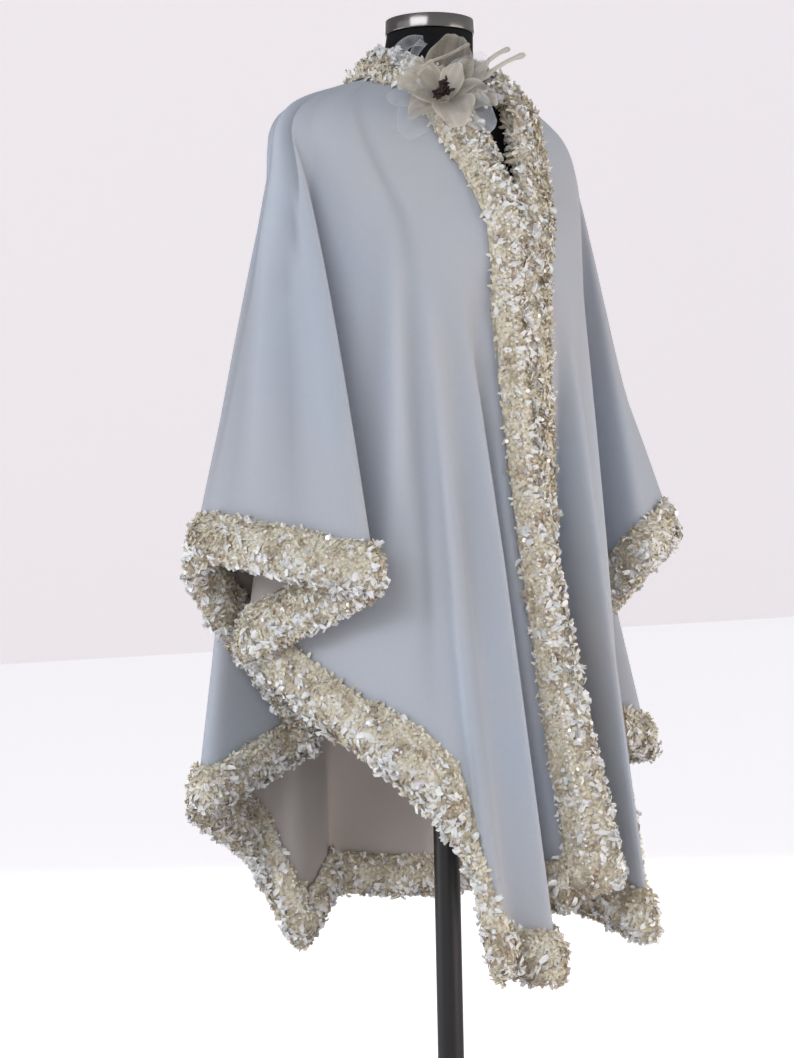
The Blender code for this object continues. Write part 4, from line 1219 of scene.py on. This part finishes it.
def edge_points(node):
    """Closely spaced points along the cloth's edge that a band is sewn round."""
    line = {"neck_band": cloth[:, 0], "right_front_band": cloth[0], "left_front_band": cloth[-1]}
    line = line.get(node, cloth[:, -1])
    return np.concatenate([line[:-1] * (1 - share) + line[1:] * share for share in (0.0, 0.33, 0.67)])


def from_edge(node, spots):
    """How far each spot is from the cloth's edge, and a pull towards it, weakest at the border."""
    edge = edge_points(node)
    tree = KDTree(len(edge))
    for number, point in enumerate(edge):
        tree.insert(point, number)
    tree.balance()
    found = [tree.find(spot) for spot in spots]
    away = np.array([distance for _, _, distance in found])
    ways = np.array([point[:] for point, _, _ in found]) - spots
    near_border = np.clip((away - BORDER_ZONE) / BORDER_FADE, 0, 1)
    return away, unit(ways) * (EDGE_PULL + BORDER_PULL * near_border)[:, None]


print({node: len(edge_points(node)) for node in band_faces})


# %% [markdown]
# ## Trim, second layer: petals
# A frill is a small strip, narrow at its root and wavy at its tip. A satin petal is longer and
# cupped. A particle system could scatter them, but would copy one shape. Here each is a patch of a
# few faces, bent differently every time. Thousands of patches are worked out together as arrays and
# kept as one mesh for each band.


# %% Petal patches
def turned_axes(normals, lean, ways=0.0):
    """For each normal: a way to lean and a way across, with the standing direction tilted by lean."""
    count = len(normals)
    loose = unit(chance.normal(size=(count, 3))) + ways
    side = unit(np.cross(normals, loose))
    front = np.cross(side, normals)
    lean = lean[:, None]
    stand = normals * np.cos(lean) + front * np.sin(lean)
    return stand, side, np.cross(side, stand)


def petal_points(spots, normals, ways, widths, across, length, width, lean, curl, wave):
    """Patches of petal: count by rows by columns by three."""
    count = len(spots)
    low, high = lean
    leans = np.radians(low + (high - low) * chance.random(count))
    stand, side, face = turned_axes(normals, leans, ways)
    size = (0.75 + 0.5 * chance.random(count))[:, None, None]
    rows = np.linspace(0, 1, len(widths))
    columns = np.linspace(-1, 1, across)
    bend = curl * (0.4 + 1.2 * chance.random(count))[:, None, None]
    rise = rows[None, :, None] * length * size * np.ones((1, 1, across))
    out = bend * length * rows[None, :, None] ** 2 * size
    phase = chance.random(count)[:, None, None] * 2 * math.pi
    ripple = wave * np.sin(columns[None, None, :] * 3.4 + phase) * rows[None, :, None]
    spread_out = columns[None, None, :] * np.array(widths)[None, :, None] * width / 2 * size
    points = spots[:, None, None, :] - normals[:, None, None, :] * 1.0 * MM
    points = points + stand[:, None, None, :] * rise[..., None]
    points = points + side[:, None, None, :] * spread_out[..., None]
    return points + face[:, None, None, :] * (out + ripple)[..., None]


def patches_mesh(name, patches, tones):
    """One mesh of all the patches, with each patch's tone on its points."""
    count, rings, columns = patches.shape[:3]
    corner = np.arange(rings * columns).reshape(rings, columns)
    quads = np.stack([corner[:-1, :-1], corner[:-1, 1:], corner[1:, 1:], corner[1:, :-1]], axis=-1)
    quads = quads.reshape(-1, 4)
    faces = (quads[None] + (np.arange(count) * rings * columns)[:, None, None]).reshape(-1, 4)
    return array_mesh(name, patches.reshape(-1, 3), faces, np.repeat(tones, rings * columns))


def array_mesh(name, points, faces, tones):
    mesh = bpy.data.meshes.new(name)
    mesh.from_pydata(points, [], faces)
    mesh.shade_smooth()
    keep_on_points(mesh, "tone", tones)
    mesh.update()
    return mesh


print("petal helpers:", [helper.__name__ for helper in (turned_axes, petal_points, patches_mesh)])


# %% [markdown]
# ## Where each kind of petal lies
# Cream frills lie everywhere, tufted light and dark; their darker tan is painted shade, strongest
# near the cloth's edge. White petals sit over them in clusters, thickest at the cloth's edge, where
# they catch the light. At the throat long petals lie over the opening and narrow it. One even mix would
# look like confetti, so a smooth noise says where a cluster or a tuft is, and the distance from the
# edge does the rest.


# %% Kinds of petal
# spots per square cm, widths from root to tip, columns, length, width, lean, curl, wave
FRILL = (12.5, (0.8, 1.0, 0.5), 2, 6.2 * MM, 3.8 * MM, (5, 60), 0.6, 2.0 * MM)
SATIN = (8.5, (0.5, 1.0, 0.6), 3, 9.0 * MM, 6.0 * MM, (15, 80), 0.45, 3.0 * MM)
SATIN_EDGE = 0.015          # the white petals thin out this fast away from the cloth's edge
SATIN_LEAST = 0.12          # and this share of them lies anywhere
SATIN_LIFT = 2.0 * MM       # they are sewn over the frills
CLUSTER = 0.010             # they sit in clusters about this wide
CLUSTER_SHARPNESS = 2.8
TUFT = 0.017                # how wide the frills' tufts of one tone are
CLUSTER_SEED, TUFT_SEED = 9.1, 3.7
# the frills' tan towards the cloth's edge is painted shade
BORDER_CREAM = 0.030        # from here to the border the frills turn from tan to cream
THROAT_HIGH = 1.31          # above here and in front of the next, long petals lie over the opening
THROAT_FRONT = -0.06
THROAT = (2.6, (0.5, 1.0, 0.8, 0.3), 3, 16.0 * MM, 6.5 * MM, (60, 88), 0.15, 2.2 * MM)
THROAT_EDGE = 0.012         # they are sewn on within this distance of the edge
THROAT_PULL = 3.0           # and lean towards it this much more than other petals
# tone at the edge, darker as painted shade; how much creamer it is at the border, lighter in a tuft, and by
# chance
TONE_AT_EDGE, CREAMER, TUFTED, BY_CHANCE = 0.34, 0.22, 0.40, 0.09


def tuft_values(spots, seed, size):
    """A smooth value at each spot, about -1 to 1, that changes from tuft to tuft."""
    shift = Vector((seed, 2.0 * seed, -seed))
    return np.array([2.0 * noise.noise(Vector(spot) / size + shift) for spot in spots])


def kept_spots(kind, spots, away):
    """Which spots get a petal of this kind: frills lie everywhere, white ones in clusters."""
    if kind == "frills":
        return np.ones(len(spots), dtype=bool)
    if kind == "throat":
        return (away < THROAT_EDGE) & (spots[:, 2] > THROAT_HIGH) & (spots[:, 1] < THROAT_FRONT)
    wanted = SATIN_LEAST + np.exp(-((away / SATIN_EDGE) ** 2))
    cluster = np.clip(CLUSTER_SHARPNESS * tuft_values(spots, CLUSTER_SEED, CLUSTER), 0, 1)
    return chance.random(len(spots)) < wanted * cluster


print("kinds of petal to a square centimetre:", [kind[0] for kind in (FRILL, SATIN, THROAT)])


# %% [markdown]
# ## Petals on every band
# A maker sews the frills first, then the white petals over them, then the long ones at the throat. All
# could be one mesh, but the library wants each band's own pieces. So each kind of petal on each band
# is one mesh, with a tone for each petal.


# %% Petals on every band
KINDS = (("frills", FRILL, frill_cloth, BANDS), ("satin", SATIN, satin_cloth, BANDS),
         ("throat", THROAT, frill_cloth, BANDS[3:5]))
for kind, (density, *shape), cloth_of, bands in KINDS:
    for node, _ in bands:
        spots, normals = spread(*band_faces[node], density)
        away, ways = from_edge(node, spots)
        kept = kept_spots(kind, spots, away)
        spots, normals, away, ways = spots[kept], normals[kept], away[kept], ways[kept]
        if kind != "frills":
            spots = spots + normals * SATIN_LIFT
        if kind == "throat":
            ways = ways * THROAT_PULL
        patches = petal_points(spots, normals, ways, *shape)
        # tan towards the cloth's edge and in darker tufts: painted shade
        cream = np.clip(away / BORDER_CREAM, 0, 1)
        tones = TONE_AT_EDGE + CREAMER * cream + TUFTED * tuft_values(spots, TUFT_SEED, TUFT)
        tones = tones + BY_CHANCE * chance.normal(size=len(spots))
        name = f"{node}_{kind}"
        mesh = patches_mesh(name, patches, np.clip(tones, 0, 1))
        piece = add_piece(name, mesh, cloth_of, slot="ruffle")
        band_pieces[node].append(piece)
        print(name, "petals:", len(spots), "triangles:", triangles(piece))


# %% [markdown]
# ## Trim, third layer: sequins and beads
# Clear sequins and small pearls lie scattered among the petals, held by a thread, each tipped its
# own way. Linked copies would be thousands of objects, so the points of one small sphere or disc are
# copied to every spot as arrays, and each band has one mesh of them.


# %% Sequins and beads
def seed_shape(kind):
    """Points and triangles of one small sphere or disc of radius 1."""
    work = bmesh.new()
    if kind == "sphere":
        bmesh.ops.create_uvsphere(work, u_segments=7, v_segments=5, radius=1.0)
        bmesh.ops.triangulate(work, faces=work.faces)
    else:
        bmesh.ops.create_circle(work, cap_ends=True, cap_tris=True, segments=8, radius=1.0)
    points = np.array([vert.co[:] for vert in work.verts])
    work.verts.index_update()
    faces = np.array([[vert.index for vert in face.verts] for face in work.faces])
    work.free()
    return points, faces


def scatter(name, shape, spots, normals, radii, lift, tip=0.5, stretch=1.0):
    """Copies of a small shape at the spots, tipped at random, and stretched where they point."""
    points, faces = seed_shape(shape)
    count = len(spots)
    stand, side, face = turned_axes(normals, chance.random(count) * tip)
    local = points[None] * radii[:, None, None] * (1.0, 1.0, stretch)
    placed = (spots + normals * lift)[:, None, :] + local[..., 0:1] * side[:, None, :]
    placed = placed + local[..., 1:2] * face[:, None, :] + local[..., 2:3] * stand[:, None, :]
    every = (faces[None] + (np.arange(count) * len(points))[:, None, None]).reshape(-1, 3)
    return array_mesh(name, placed.reshape(-1, 3), every, np.repeat(chance.random(count), len(points)))


SEQUINS, PEARLS = 0.24, 0.15    # of each to a square centimetre
SEWN_HIGH = 4.5 * MM            # above the band's own face, among the petals
for node, _ in BANDS:
    spots, normals = spread(*band_faces[node], SEQUINS)
    radii = (1.8 + 1.1 * chance.random(len(spots))) * MM
    name = f"{node}_sequins"
    piece = add_piece(name, scatter(name, "disc", spots, normals, radii, SEWN_HIGH, 1.0), sequin_gloss)
    band_pieces[node].append(piece)
    spots, normals = spread(*band_faces[node], PEARLS)
    radii = (1.3 + 0.7 * chance.random(len(spots))) * MM
    name = f"{node}_pearls"
    piece = add_piece(name, scatter(name, "sphere", spots, normals, radii, SEWN_HIGH), pearl_gloss)
    band_pieces[node].append(piece)
    print(name, len(spots))


# %% [markdown]
# ## The row of beads
# Down the middle of the right front runs one row of larger beads. A curve with copies along it would
# float over the uneven trim. So points are taken down one line of the cloth, and each bead is dropped
# onto the band along a ray from outside.


# %% The row of beads down the right front
def bead_row(node, place, spacing, radius):
    """A row of beads on the outer face of a band, down the line of cloth at this place."""
    line = cloth_points([place], np.linspace(0, 1, 400))[0]
    beside = cloth_points([place + 0.1], np.linspace(0, 1, 400))[0]
    outward = unit(np.cross(beside - line, np.gradient(line, axis=0)))
    lengths = distance_along(line)
    tree = surface_tree([node])
    spots, normals = [], []
    for wanted in np.arange(0.01, lengths[-1], spacing):
        number = int(np.searchsorted(lengths, wanted))
        start = Vector(line[number] + outward[number] * 0.05)
        hit = tree.ray_cast(start, -Vector(outward[number]), 0.05)
        if hit[0] is not None:
            spots.append(hit[0][:])
            normals.append(outward[number])
    radii = np.full(len(spots), radius)
    mesh = scatter(f"{node}_bead_row", "sphere", np.array(spots), np.array(normals), radii, 5.0 * MM)
    return add_piece(f"{node}_bead_row", mesh, pearl_gloss)


row_piece = bead_row("right_front_band", place=0.42, spacing=0.0085, radius=2.3 * MM)
band_pieces["right_front_band"].append(row_piece)
print("bead row triangles:", triangles(row_piece))


# %% [markdown]
# ## The flower
# Sheer organza petals are gathered round a dark bundle of stamens and sewn on at the neck. One petal
# copied in a circle would look like a daisy, but the real bloom is uneven. So each petal is its own
# grid, placed one by one: a root, a direction, a length and a width. Its root dips back to the neck
# band, its sides cup upwards, and its rim waves.


# %% One organza petal
flower_low, flower_high = (np.array(corner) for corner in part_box("flower_inner_petals"))
flower_facing = unit(np.array((-0.52, -0.80, 0.30)))
flower_across = unit(np.cross((0.0, 0.0, 1.0), flower_facing))
flower_up = np.cross(flower_facing, flower_across)
flower_root = (flower_low + flower_high) / 2 - flower_facing * 4 * MM
flower_root = flower_root - flower_across * 5 * MM - flower_up * 16 * MM
ROOT_DIP = 18.0             # mm that each petal's root dips back towards the neck band, where it is sewn on
PETAL_WIDEST = 0.56         # where along its length a petal is widest
PETAL_SPAN = 0.63           # and the share of its length from there to where its oval would close
TIP_ROUND = 0.34            # how much shorter it is at its sides than along its middle


def organza_petal(root_across, root_up, angle, length, width, lift, cup, curl, wave, pale, steps=(22, 17)):
    """A grid of points of one petal, from its root to its tip, and the tone at each."""
    along, over = np.meshgrid(np.linspace(0, 1, steps[0]), np.linspace(-1, 1, steps[1]), indexing="ij")
    shape = np.sqrt(1 - ((along - PETAL_WIDEST) / PETAL_SPAN) ** 2)
    turn = math.radians(angle)
    out = flower_across * math.cos(turn) + flower_up * math.sin(turn)
    side = np.cross(flower_facing, out)
    reach = along * length * MM * (1 - TIP_ROUND * over**2)
    high = math.tan(math.radians(lift)) * reach * (1 - curl * along**2)
    high = high + cup * MM * over**2 * shape
    high = high + wave * MM * np.sin(over * 4 + angle) * along**2
    high = high + 0.25 * wave * MM * np.sin(over * 13 + 2 * angle + 3 * along) * along
    high = high - ROOT_DIP * MM * (1 - along) ** 3
    start = flower_root + (flower_across * root_across + flower_up * root_up) * MM
    spots = start + reach[..., None] * out + (over * shape * width / 2 * MM)[..., None] * side
    rim = np.maximum(np.abs(over) ** 12, along**18)
    streaks = (0.5 + 0.5 * np.sin(over * 9 + angle + 2 * along)) ** 3
    streaks = streaks + 0.6 * (0.5 + 0.5 * np.sin(over * 23 + 2 * angle - 3 * along)) ** 4
    tones = 0.24 + 0.34 * rim + 0.16 * (0.3 + 0.7 * along) * streaks + pale
    return spots + high[..., None] * flower_facing, np.clip(tones, 0, 1)


def petal_piece(name, points, tones, cloth_of, stands_for):
    mesh = grid_sheet(f"petal_{name}", points)
    # the grid's vertices run along its first axis, ring by ring
    keep_on_points(mesh, "tone", tones.T)
    return add_piece(f"petal_{name}", mesh, cloth_of, stands_for, "organza")


print("the flower's root:", flower_root.round(3).tolist())


# %% [markdown]
# ## The bloom
# Eight petals of tan and pale organza make the bloom, the tallest standing behind it, and four sheerer
# ones lie under it on the wool. Chance would not give the photograph's uneven bloom, so each petal is
# one row of a table.


# %% The bloom
# name, root across and up mm, direction, length mm, width mm, lift degrees, cup, curl, wave mm, paler by
PETALS = (
    ("tall_back", 4, 4, 74, 72, 58, 4, 5, 0.2, 5, -0.18),
    ("inner_pale", 8, 0, 66, 36, 28, 20, 6, 0.4, 2, 0.30),
    ("left_tan", 0, 2, 174, 50, 48, 14, 8, 0.7, 6, 0.12),
    ("upper_left", -2, 4, 128, 44, 28, 12, 7, 0.5, 5, 0.06),
    ("low_round", 8, -5, -74, 46, 52, 20, 12, 0.9, 5, 0.16),
    ("right_side", 12, -3, -14, 56, 42, 6, 7, 0.5, 5, 0.02),
    ("low_left", -3, -5, -140, 46, 40, 7, 7, 0.6, 6, 0.02),
    ("right_up", 10, 4, 34, 58, 36, 8, 6, 0.4, 5, -0.05),
)
# the same columns for the sheerer pieces
VEILS = (
    ("veil_low_left", -12, -8, -124, 64, 54, 0, 5, 0.3, 5, -0.15),
    ("veil_left", -10, 0, -168, 56, 38, 2, 5, 0.4, 5, -0.15),
    ("veil_right", 12, 2, 44, 62, 44, 3, 5, 0.3, 4, 0.20),
    ("veil_low", 18, -10, -44, 58, 50, 4, 5, 0.5, 5, 0.30),
)
flower_pieces = []
for rows_of, cloth_of, stands_for in ((PETALS, organza, ["flower_outer_petals", "flower_inner_petals"]),
                                      (VEILS, veil, [])):
    for name, *shape in rows_of:
        flower_pieces.append(petal_piece(name, *organza_petal(*shape), cloth_of, stands_for))
        stands_for = []
print("petals:", [piece.name for piece in flower_pieces])


# %% [markdown]
# ## Loops of tulle
# Behind the bloom a strip of tulle is looped up on the neck, and one petal's rim is rolled. A petal's
# grid has no such course. So a strip runs through a few given stops, which are evened into a
# curve, and it stands a little off the flower's plane.


# %% Loops of tulle
def strip_through(stops, width, lift, steps=40):
    """A narrow strip through stops given as mm across and up, standing a little off the plane."""
    stops = np.array(stops, dtype=float)
    places = np.linspace(0, len(stops) - 1, steps)
    path = np.stack([np.interp(places, np.arange(len(stops)), stops[:, axis]) for axis in (0, 1)], axis=1)
    path = softened(path, 8)
    run = unit(np.gradient(path, axis=0))
    side = np.stack([-run[:, 1], run[:, 0]], axis=1)
    over = np.linspace(-1, 1, 5)
    flat = path[:, None] + side[:, None] * over[None, :, None] * width / 2
    high = lift + 3.0 * np.sin(places * 2.1)[:, None] + 1.2 * over[None, :] ** 2
    points = flower_root + (flat[..., :1] * flower_across + flat[..., 1:] * flower_up) * MM
    points = points + (high * MM)[..., None] * flower_facing
    rim = np.abs(over)[None, :] ** 3
    return points, 0.22 + 0.45 * rim + 0.12 * np.sin(places * 5.0)[:, None] * (1 - rim)


# name, width mm, lift mm, stops as mm across and up from the stamens
STRIPS = (
    ("tulle_loop", 15, 6, ((-38, 20), (-48, 32), (-50, 46), (-40, 56), (-28, 60), (-16, 62))),
    ("tulle_back", 11, 3, ((-16, 62), (-26, 50), (-34, 36), (-40, 20))),
    ("rolled_rim", 3.5, 12, ((-28, 12), (-14, 28), (4, 38), (22, 46), (36, 52))),
)
for name, width, lift, stops in STRIPS:
    cloth_of = organza if name == "rolled_rim" else veil
    flower_pieces.append(petal_piece(name, *strip_through(stops, width, lift), cloth_of, []))
print("strips:", [row[0] for row in STRIPS])


# %% [markdown]
# ## Stamens
# The flower's middle is a bundle of short threads with small dark heads, leaning out to all sides. It
# could be one lumpy ball, but the light between the heads makes it read as stamens. So each head has
# its own place in a four-cornered heap, as the photograph's heap is, and a thin thread down to the
# sewn root.


# %% Stamens
# corners of the heap, as mm across and up from the stamens' middle
STAMEN_HEAP = np.array(((3, 15), (13, -4), (-6, -14), (-12, -8)), dtype=float)


def stamen_places(count=90):
    """Where the stamens' heads stand: heaped round the flower's middle, and which way they lean."""
    shares = chance.dirichlet((0.8,) * len(STAMEN_HEAP), count)
    flat = (shares @ STAMEN_HEAP + (0, -6)) * MM
    high = 0.017 - 8.0 * (flat**2).sum(axis=1) + 0.005 * chance.random(count)
    way = flat[:, :1] * flower_across + flat[:, 1:] * flower_up
    spots = flower_root + way + high[:, None] * flower_facing
    return spots, unit(way * 60 + flower_facing)


def stamen_threads(spots, radius):
    """A short thread from the sewn root of the bloom to each head."""
    work = bmesh.new()
    for number, spot in enumerate(spots):
        aside = flower_across * math.cos(number) + flower_up * math.sin(number)
        foot = Vector(flower_root + aside * 3 * MM - flower_facing * 0.8 * ROOT_DIP * MM)
        run = Vector(spot) - foot
        turn = run.to_track_quat("Z", "Y").to_matrix().to_4x4()
        bmesh.ops.create_cone(work, cap_ends=True, segments=4, radius1=radius, radius2=radius,
                              depth=run.length, matrix=Matrix.Translation(foot + run / 2) @ turn)
    return mesh_from(work, "stamen_threads")


heads, head_normals = stamen_places()
head_sizes = (1.3 + 0.7 * chance.random(len(heads))) * MM
head_mesh = scatter("stamens", "sphere", heads, head_normals, head_sizes, 1.0 * MM, 0.6, 2.0)
flower_pieces.append(add_piece("stamens", head_mesh, stamen_gloss, ["flower_stamens"], "stamens"))
flower_pieces.append(add_piece("stamen_threads", stamen_threads(heads, 0.3 * MM), stamen_gloss))
print("stamens:", len(heads))


# %% [markdown]
# ## Beads beside the flower
# A few clear beads are sewn in loose groups on the trim beside the bloom. Setting them one by one
# would leave some afloat, so they are strewn round each group's middle and dropped onto the trim.


# %% Beads beside the flower
# middle of each group of beads beside the flower, as mm across and up, its reach and its count
BEAD_GROUPS = ((50, 0, 9, 10), (50, -44, 12, 14), (58, -22, 9, 9), (62, 12, 8, 6))


def flower_beads():
    """Clear beads on the trim beside the flower."""
    tree = surface_tree(["neck_band", "right_front_band", "left_front_band", "flower_outer_petals"])
    spots = []
    for across, up, reach, count in BEAD_GROUPS:
        for offset in chance.normal(size=(count, 2)) * reach / 2:
            flat = flower_across * (across + offset[0]) + flower_up * (up + offset[1])
            start = Vector(flower_root + flat * MM + flower_facing * 0.10)
            hit = tree.ray_cast(start, -Vector(flower_facing), 0.25)
            if hit[0] is not None:
                spots.append(hit[0][:])
    spots = np.array(spots)
    normals = np.repeat(flower_facing[None], len(spots), axis=0)
    radii = (1.5 + 0.8 * chance.random(len(spots))) * MM
    return scatter("flower_beads", "sphere", spots, normals, radii, 5.0 * MM)


flower_pieces.append(add_piece("flower_beads", flower_beads(), pearl_gloss))
print("flower beads' triangles:", triangles(flower_pieces[-1]))


# %% [markdown]
# ## Ribbon ends
# Two narrow ends of ribbon stick out past the bloom. The solids already have their true shape, with
# few faces. So they are only merged and cut finer, which rounds them, and get the sheer organza.


# %% Ribbon ends
RIBBON_TONE = 0.7           # from 0, deep, to 1, pale


def ribbon_end(node):
    """The solid ribbon end, cut finer and made sheer."""
    work = merged_copy(node)
    bmesh.ops.recalc_face_normals(work, faces=work.faces)
    bmesh.ops.subdivide_edges(work, edges=work.edges, cuts=2, smooth=0.4, use_grid_fill=True)
    mesh = mesh_from(work, f"{node}_organza")
    keep_on_points(mesh, "tone", np.full(len(mesh.vertices), RIBBON_TONE))
    return add_piece(f"{node}_organza", mesh, organza, [node], "ribbon")


flower_pieces += [ribbon_end("ribbon_end_upper"), ribbon_end("ribbon_end_lower")]
print("flower pieces:", len(flower_pieces))


# %% [markdown]
# ## The pieces each panel carries
# On the real cape each panel was cut flat from wool and then draped over the form, with its trim and
# flower sewn on. Nothing in a mesh says so. Here the pieces that move with each panel are gathered
# into a list: its bands' trim and, on the right front, the flower.


trims_of = {
    "right_front_panel": ["right_hem_band", "right_front_band", "neck_band"],
    "back_panel": ["back_hem_band"],
    "left_front_panel": ["left_hem_band", "left_front_band"],
}
for name, first, last, node, flat in PANELS:
    carried = [piece for band in trims_of[name] for piece in band_pieces[band]]
    if name == "right_front_panel":
        carried += flower_pieces


# %% [markdown]
# ## Stage
# The photograph's room is nearly white, with one line where wall and floor meet. A curved backdrop
# would have no line. So two large planes meet far behind the cape, where the camera sees their line
# at the photograph's height and slant. They glow for the camera alone, because a wall that lit the
# cape as brightly would wash out its folds.


# %% Stage
VIEW_TURN = math.radians(-40)
VIEW_RANGE = 2.72
VIEW_HIGH = 0.878
view_way = Vector((math.sin(-VIEW_TURN), math.cos(VIEW_TURN), 0))
right_way = Vector((math.cos(VIEW_TURN), math.sin(VIEW_TURN), 0))
view_spot = Vector((0, 0, VIEW_HIGH)) - view_way * VIEW_RANGE
FLOOR_WIDE = 90.0
WALL_WIDE = 120.0
# two points of the line where wall and floor meet: metres away from the camera, and to its right
WALL_LEFT = (15.45, -3.06)
WALL_RIGHT = (20.5, 3.27)


def stage_plane(name, size, place, turn, colour, glow):
    """A large plane that the camera sees brighter than it lights the cape."""
    work = bmesh.new()
    bmesh.ops.create_grid(work, x_segments=1, y_segments=1, size=size / 2)
    plane = bpy.data.objects.new(name, mesh_from(work, name, smooth=False))
    bpy.context.scene.collection.objects.link(plane)
    plane.location = place
    plane.rotation_euler = turn
    dark = tuple(value * 0.97 for value in colour)
    paint = fibre_material(f"{name}_paint", colour, dark, 0.4, 60.0, 0.1, 0.02, MM, roughness=0.9)
    tree = paint.node_tree
    shader = tree.nodes["Principled BSDF"]
    shader.inputs["Emission Color"].default_value = (*colour, 1)
    ray = tree.nodes.new("ShaderNodeLightPath")
    seen = tree.nodes.new("ShaderNodeMath")
    seen.operation = "MULTIPLY"
    seen.inputs[1].default_value = glow
    tree.links.new(ray.outputs["Is Camera Ray"], seen.inputs[0])
    tree.links.new(seen.outputs["Value"], shader.inputs["Emission Strength"])
    plane.data.materials.append(paint)
    return plane


stage_plane("floor", FLOOR_WIDE, (0, 0, -1 * MM), (0, 0, 0), (0.88, 0.865, 0.88), 0.67)
wall_left, wall_right = (view_spot + view_way * far + right_way * aside
                         for far, aside in (WALL_LEFT, WALL_RIGHT))
along_wall = wall_right - wall_left
wall_middle = (wall_left + wall_right) / 2
wall_turn = (math.radians(90), 0, math.atan2(along_wall.y, along_wall.x))
wall = stage_plane("wall", WALL_WIDE, (wall_middle.x, wall_middle.y, 0), wall_turn,
                   (0.87, 0.82, 0.84), 0.56)
print("wall at", tuple(round(value, 2) for value in wall.location))


# %% [markdown]
# ## Lights
# In the photograph cool light comes from a high window in front and to the left, so the folds are
# shaded towards the right. A warmer room fills the right side and the low parts, and browns the inner
# folds. One sun lamp would give hard shadows, so each is a large soft lamp. One more stands behind,
# for the views from there.


# %% Lights
# name, metres towards the camera, to its right and up from the cape's middle, wide, tall, watts, colour
LAMPS = (
    ("key", 1.2, -3.2, 0.2, 2.4, 2.4, 9, (0.96, 0.98, 1.0)),
    ("left_low", 0.2, -3.0, -0.5, 2.0, 2.0, 25, (0.97, 0.98, 1.0)),
    ("window", 2.9, -1.5, 1.2, 2.6, 0.9, 34, (0.89, 0.945, 1.0)),
    ("right_fill", 0.9, 3.1, -0.3, 2.4, 2.4, 41, (1.0, 0.90, 0.81)),
    ("warm_low", 1.2, 1.8, -0.6, 1.2, 1.2, 7, (1.0, 0.86, 0.72)),
    ("front_low", 3.0, -0.6, -0.5, 2.0, 0.7, 2.5, (1.0, 0.91, 0.82)),
    ("from_behind", -2.8, 0.0, 0.7, 3.0, 2.0, 26, (1.0, 0.97, 0.94)),
)
CAPE_MIDDLE = Vector((0, 0, 0.9))


def soft_lamp(name, near, right, high, wide, tall, power, colour):
    """A wide lamp that is turned to the cape's middle."""
    lamp = bpy.data.lights.new(name, "AREA")
    lamp.shape = "RECTANGLE"
    lamp.size = wide
    lamp.size_y = tall
    lamp.energy = power
    lamp.color = colour
    way = -view_way * near + right_way * right + Vector((0, 0, high))
    holder = bpy.data.objects.new(name, lamp)
    holder.location = CAPE_MIDDLE + way
    holder.rotation_euler = (-way).to_track_quat("-Z", "Y").to_euler()
    bpy.context.scene.collection.objects.link(holder)


for lamp_row in LAMPS:
    soft_lamp(*lamp_row)


# %% [markdown]
# ## The room's own light
# Pale walls light the cape from all around, more from the side than from above. A plain grey world
# would light the tops of the folds as much as their sides. So the world's strength falls off from the
# horizon upwards.


# %% The room's own light
ROOM_AT_HORIZON = 0.66
ROOM_ABOVE = 0.26
world = bpy.data.worlds.new("soft_room")
bpy.context.scene.world = world
world.use_nodes = True
room_tree = world.node_tree
background = room_tree.nodes["Background"]
background.inputs["Color"].default_value = (0.93, 0.96, 1.0, 1)
direction = room_tree.nodes.new("ShaderNodeTexCoord")
height_of = room_tree.nodes.new("ShaderNodeSeparateXYZ")
room_tree.links.new(direction.outputs["Generated"], height_of.inputs["Vector"])
fall_off = map_range(room_tree, height_of.outputs["Z"], to=(ROOM_AT_HORIZON, ROOM_ABOVE))
room_tree.links.new(fall_off, background.inputs["Strength"])
print("world:", world.name)


# %% [markdown]
# ## Camera
# The photograph was taken from close by and from the wearer's right, so its far side is smaller. A
# camera set by eye would never lie on it. So its distance, height, roll and lens were worked out from
# the form's cap, its shoulders and the hem, with the solids' sizes. The lens's axis lies beside the
# picture's middle, so the lens is shifted sideways.


# %% Camera
LENS_PIXELS = 2217.0        # the lens's length and the picture's height, both in the picture's pixels
FRAME_HIGH = 1058.0
AXIS_RIGHT_OF_MIDDLE = 43.0
ROLL = -1.2
camera = bpy.data.cameras.new("photo_camera")
camera.sensor_width = 36.0
camera.lens = LENS_PIXELS / FRAME_HIGH * camera.sensor_width
camera.shift_x = -AXIS_RIGHT_OF_MIDDLE / FRAME_HIGH
camera_holder = bpy.data.objects.new("photo_camera", camera)
camera_holder.location = view_spot
camera_holder.rotation_euler = view_way.to_track_quat("-Z", "Y").to_euler()
camera_holder.rotation_euler.rotate_axis("Z", math.radians(ROLL))
bpy.context.scene.collection.objects.link(camera_holder)
bpy.context.scene.camera = camera_holder
bpy.context.scene.view_settings.view_transform = "Standard"
print("lens:", round(camera.lens, 1), "mm")
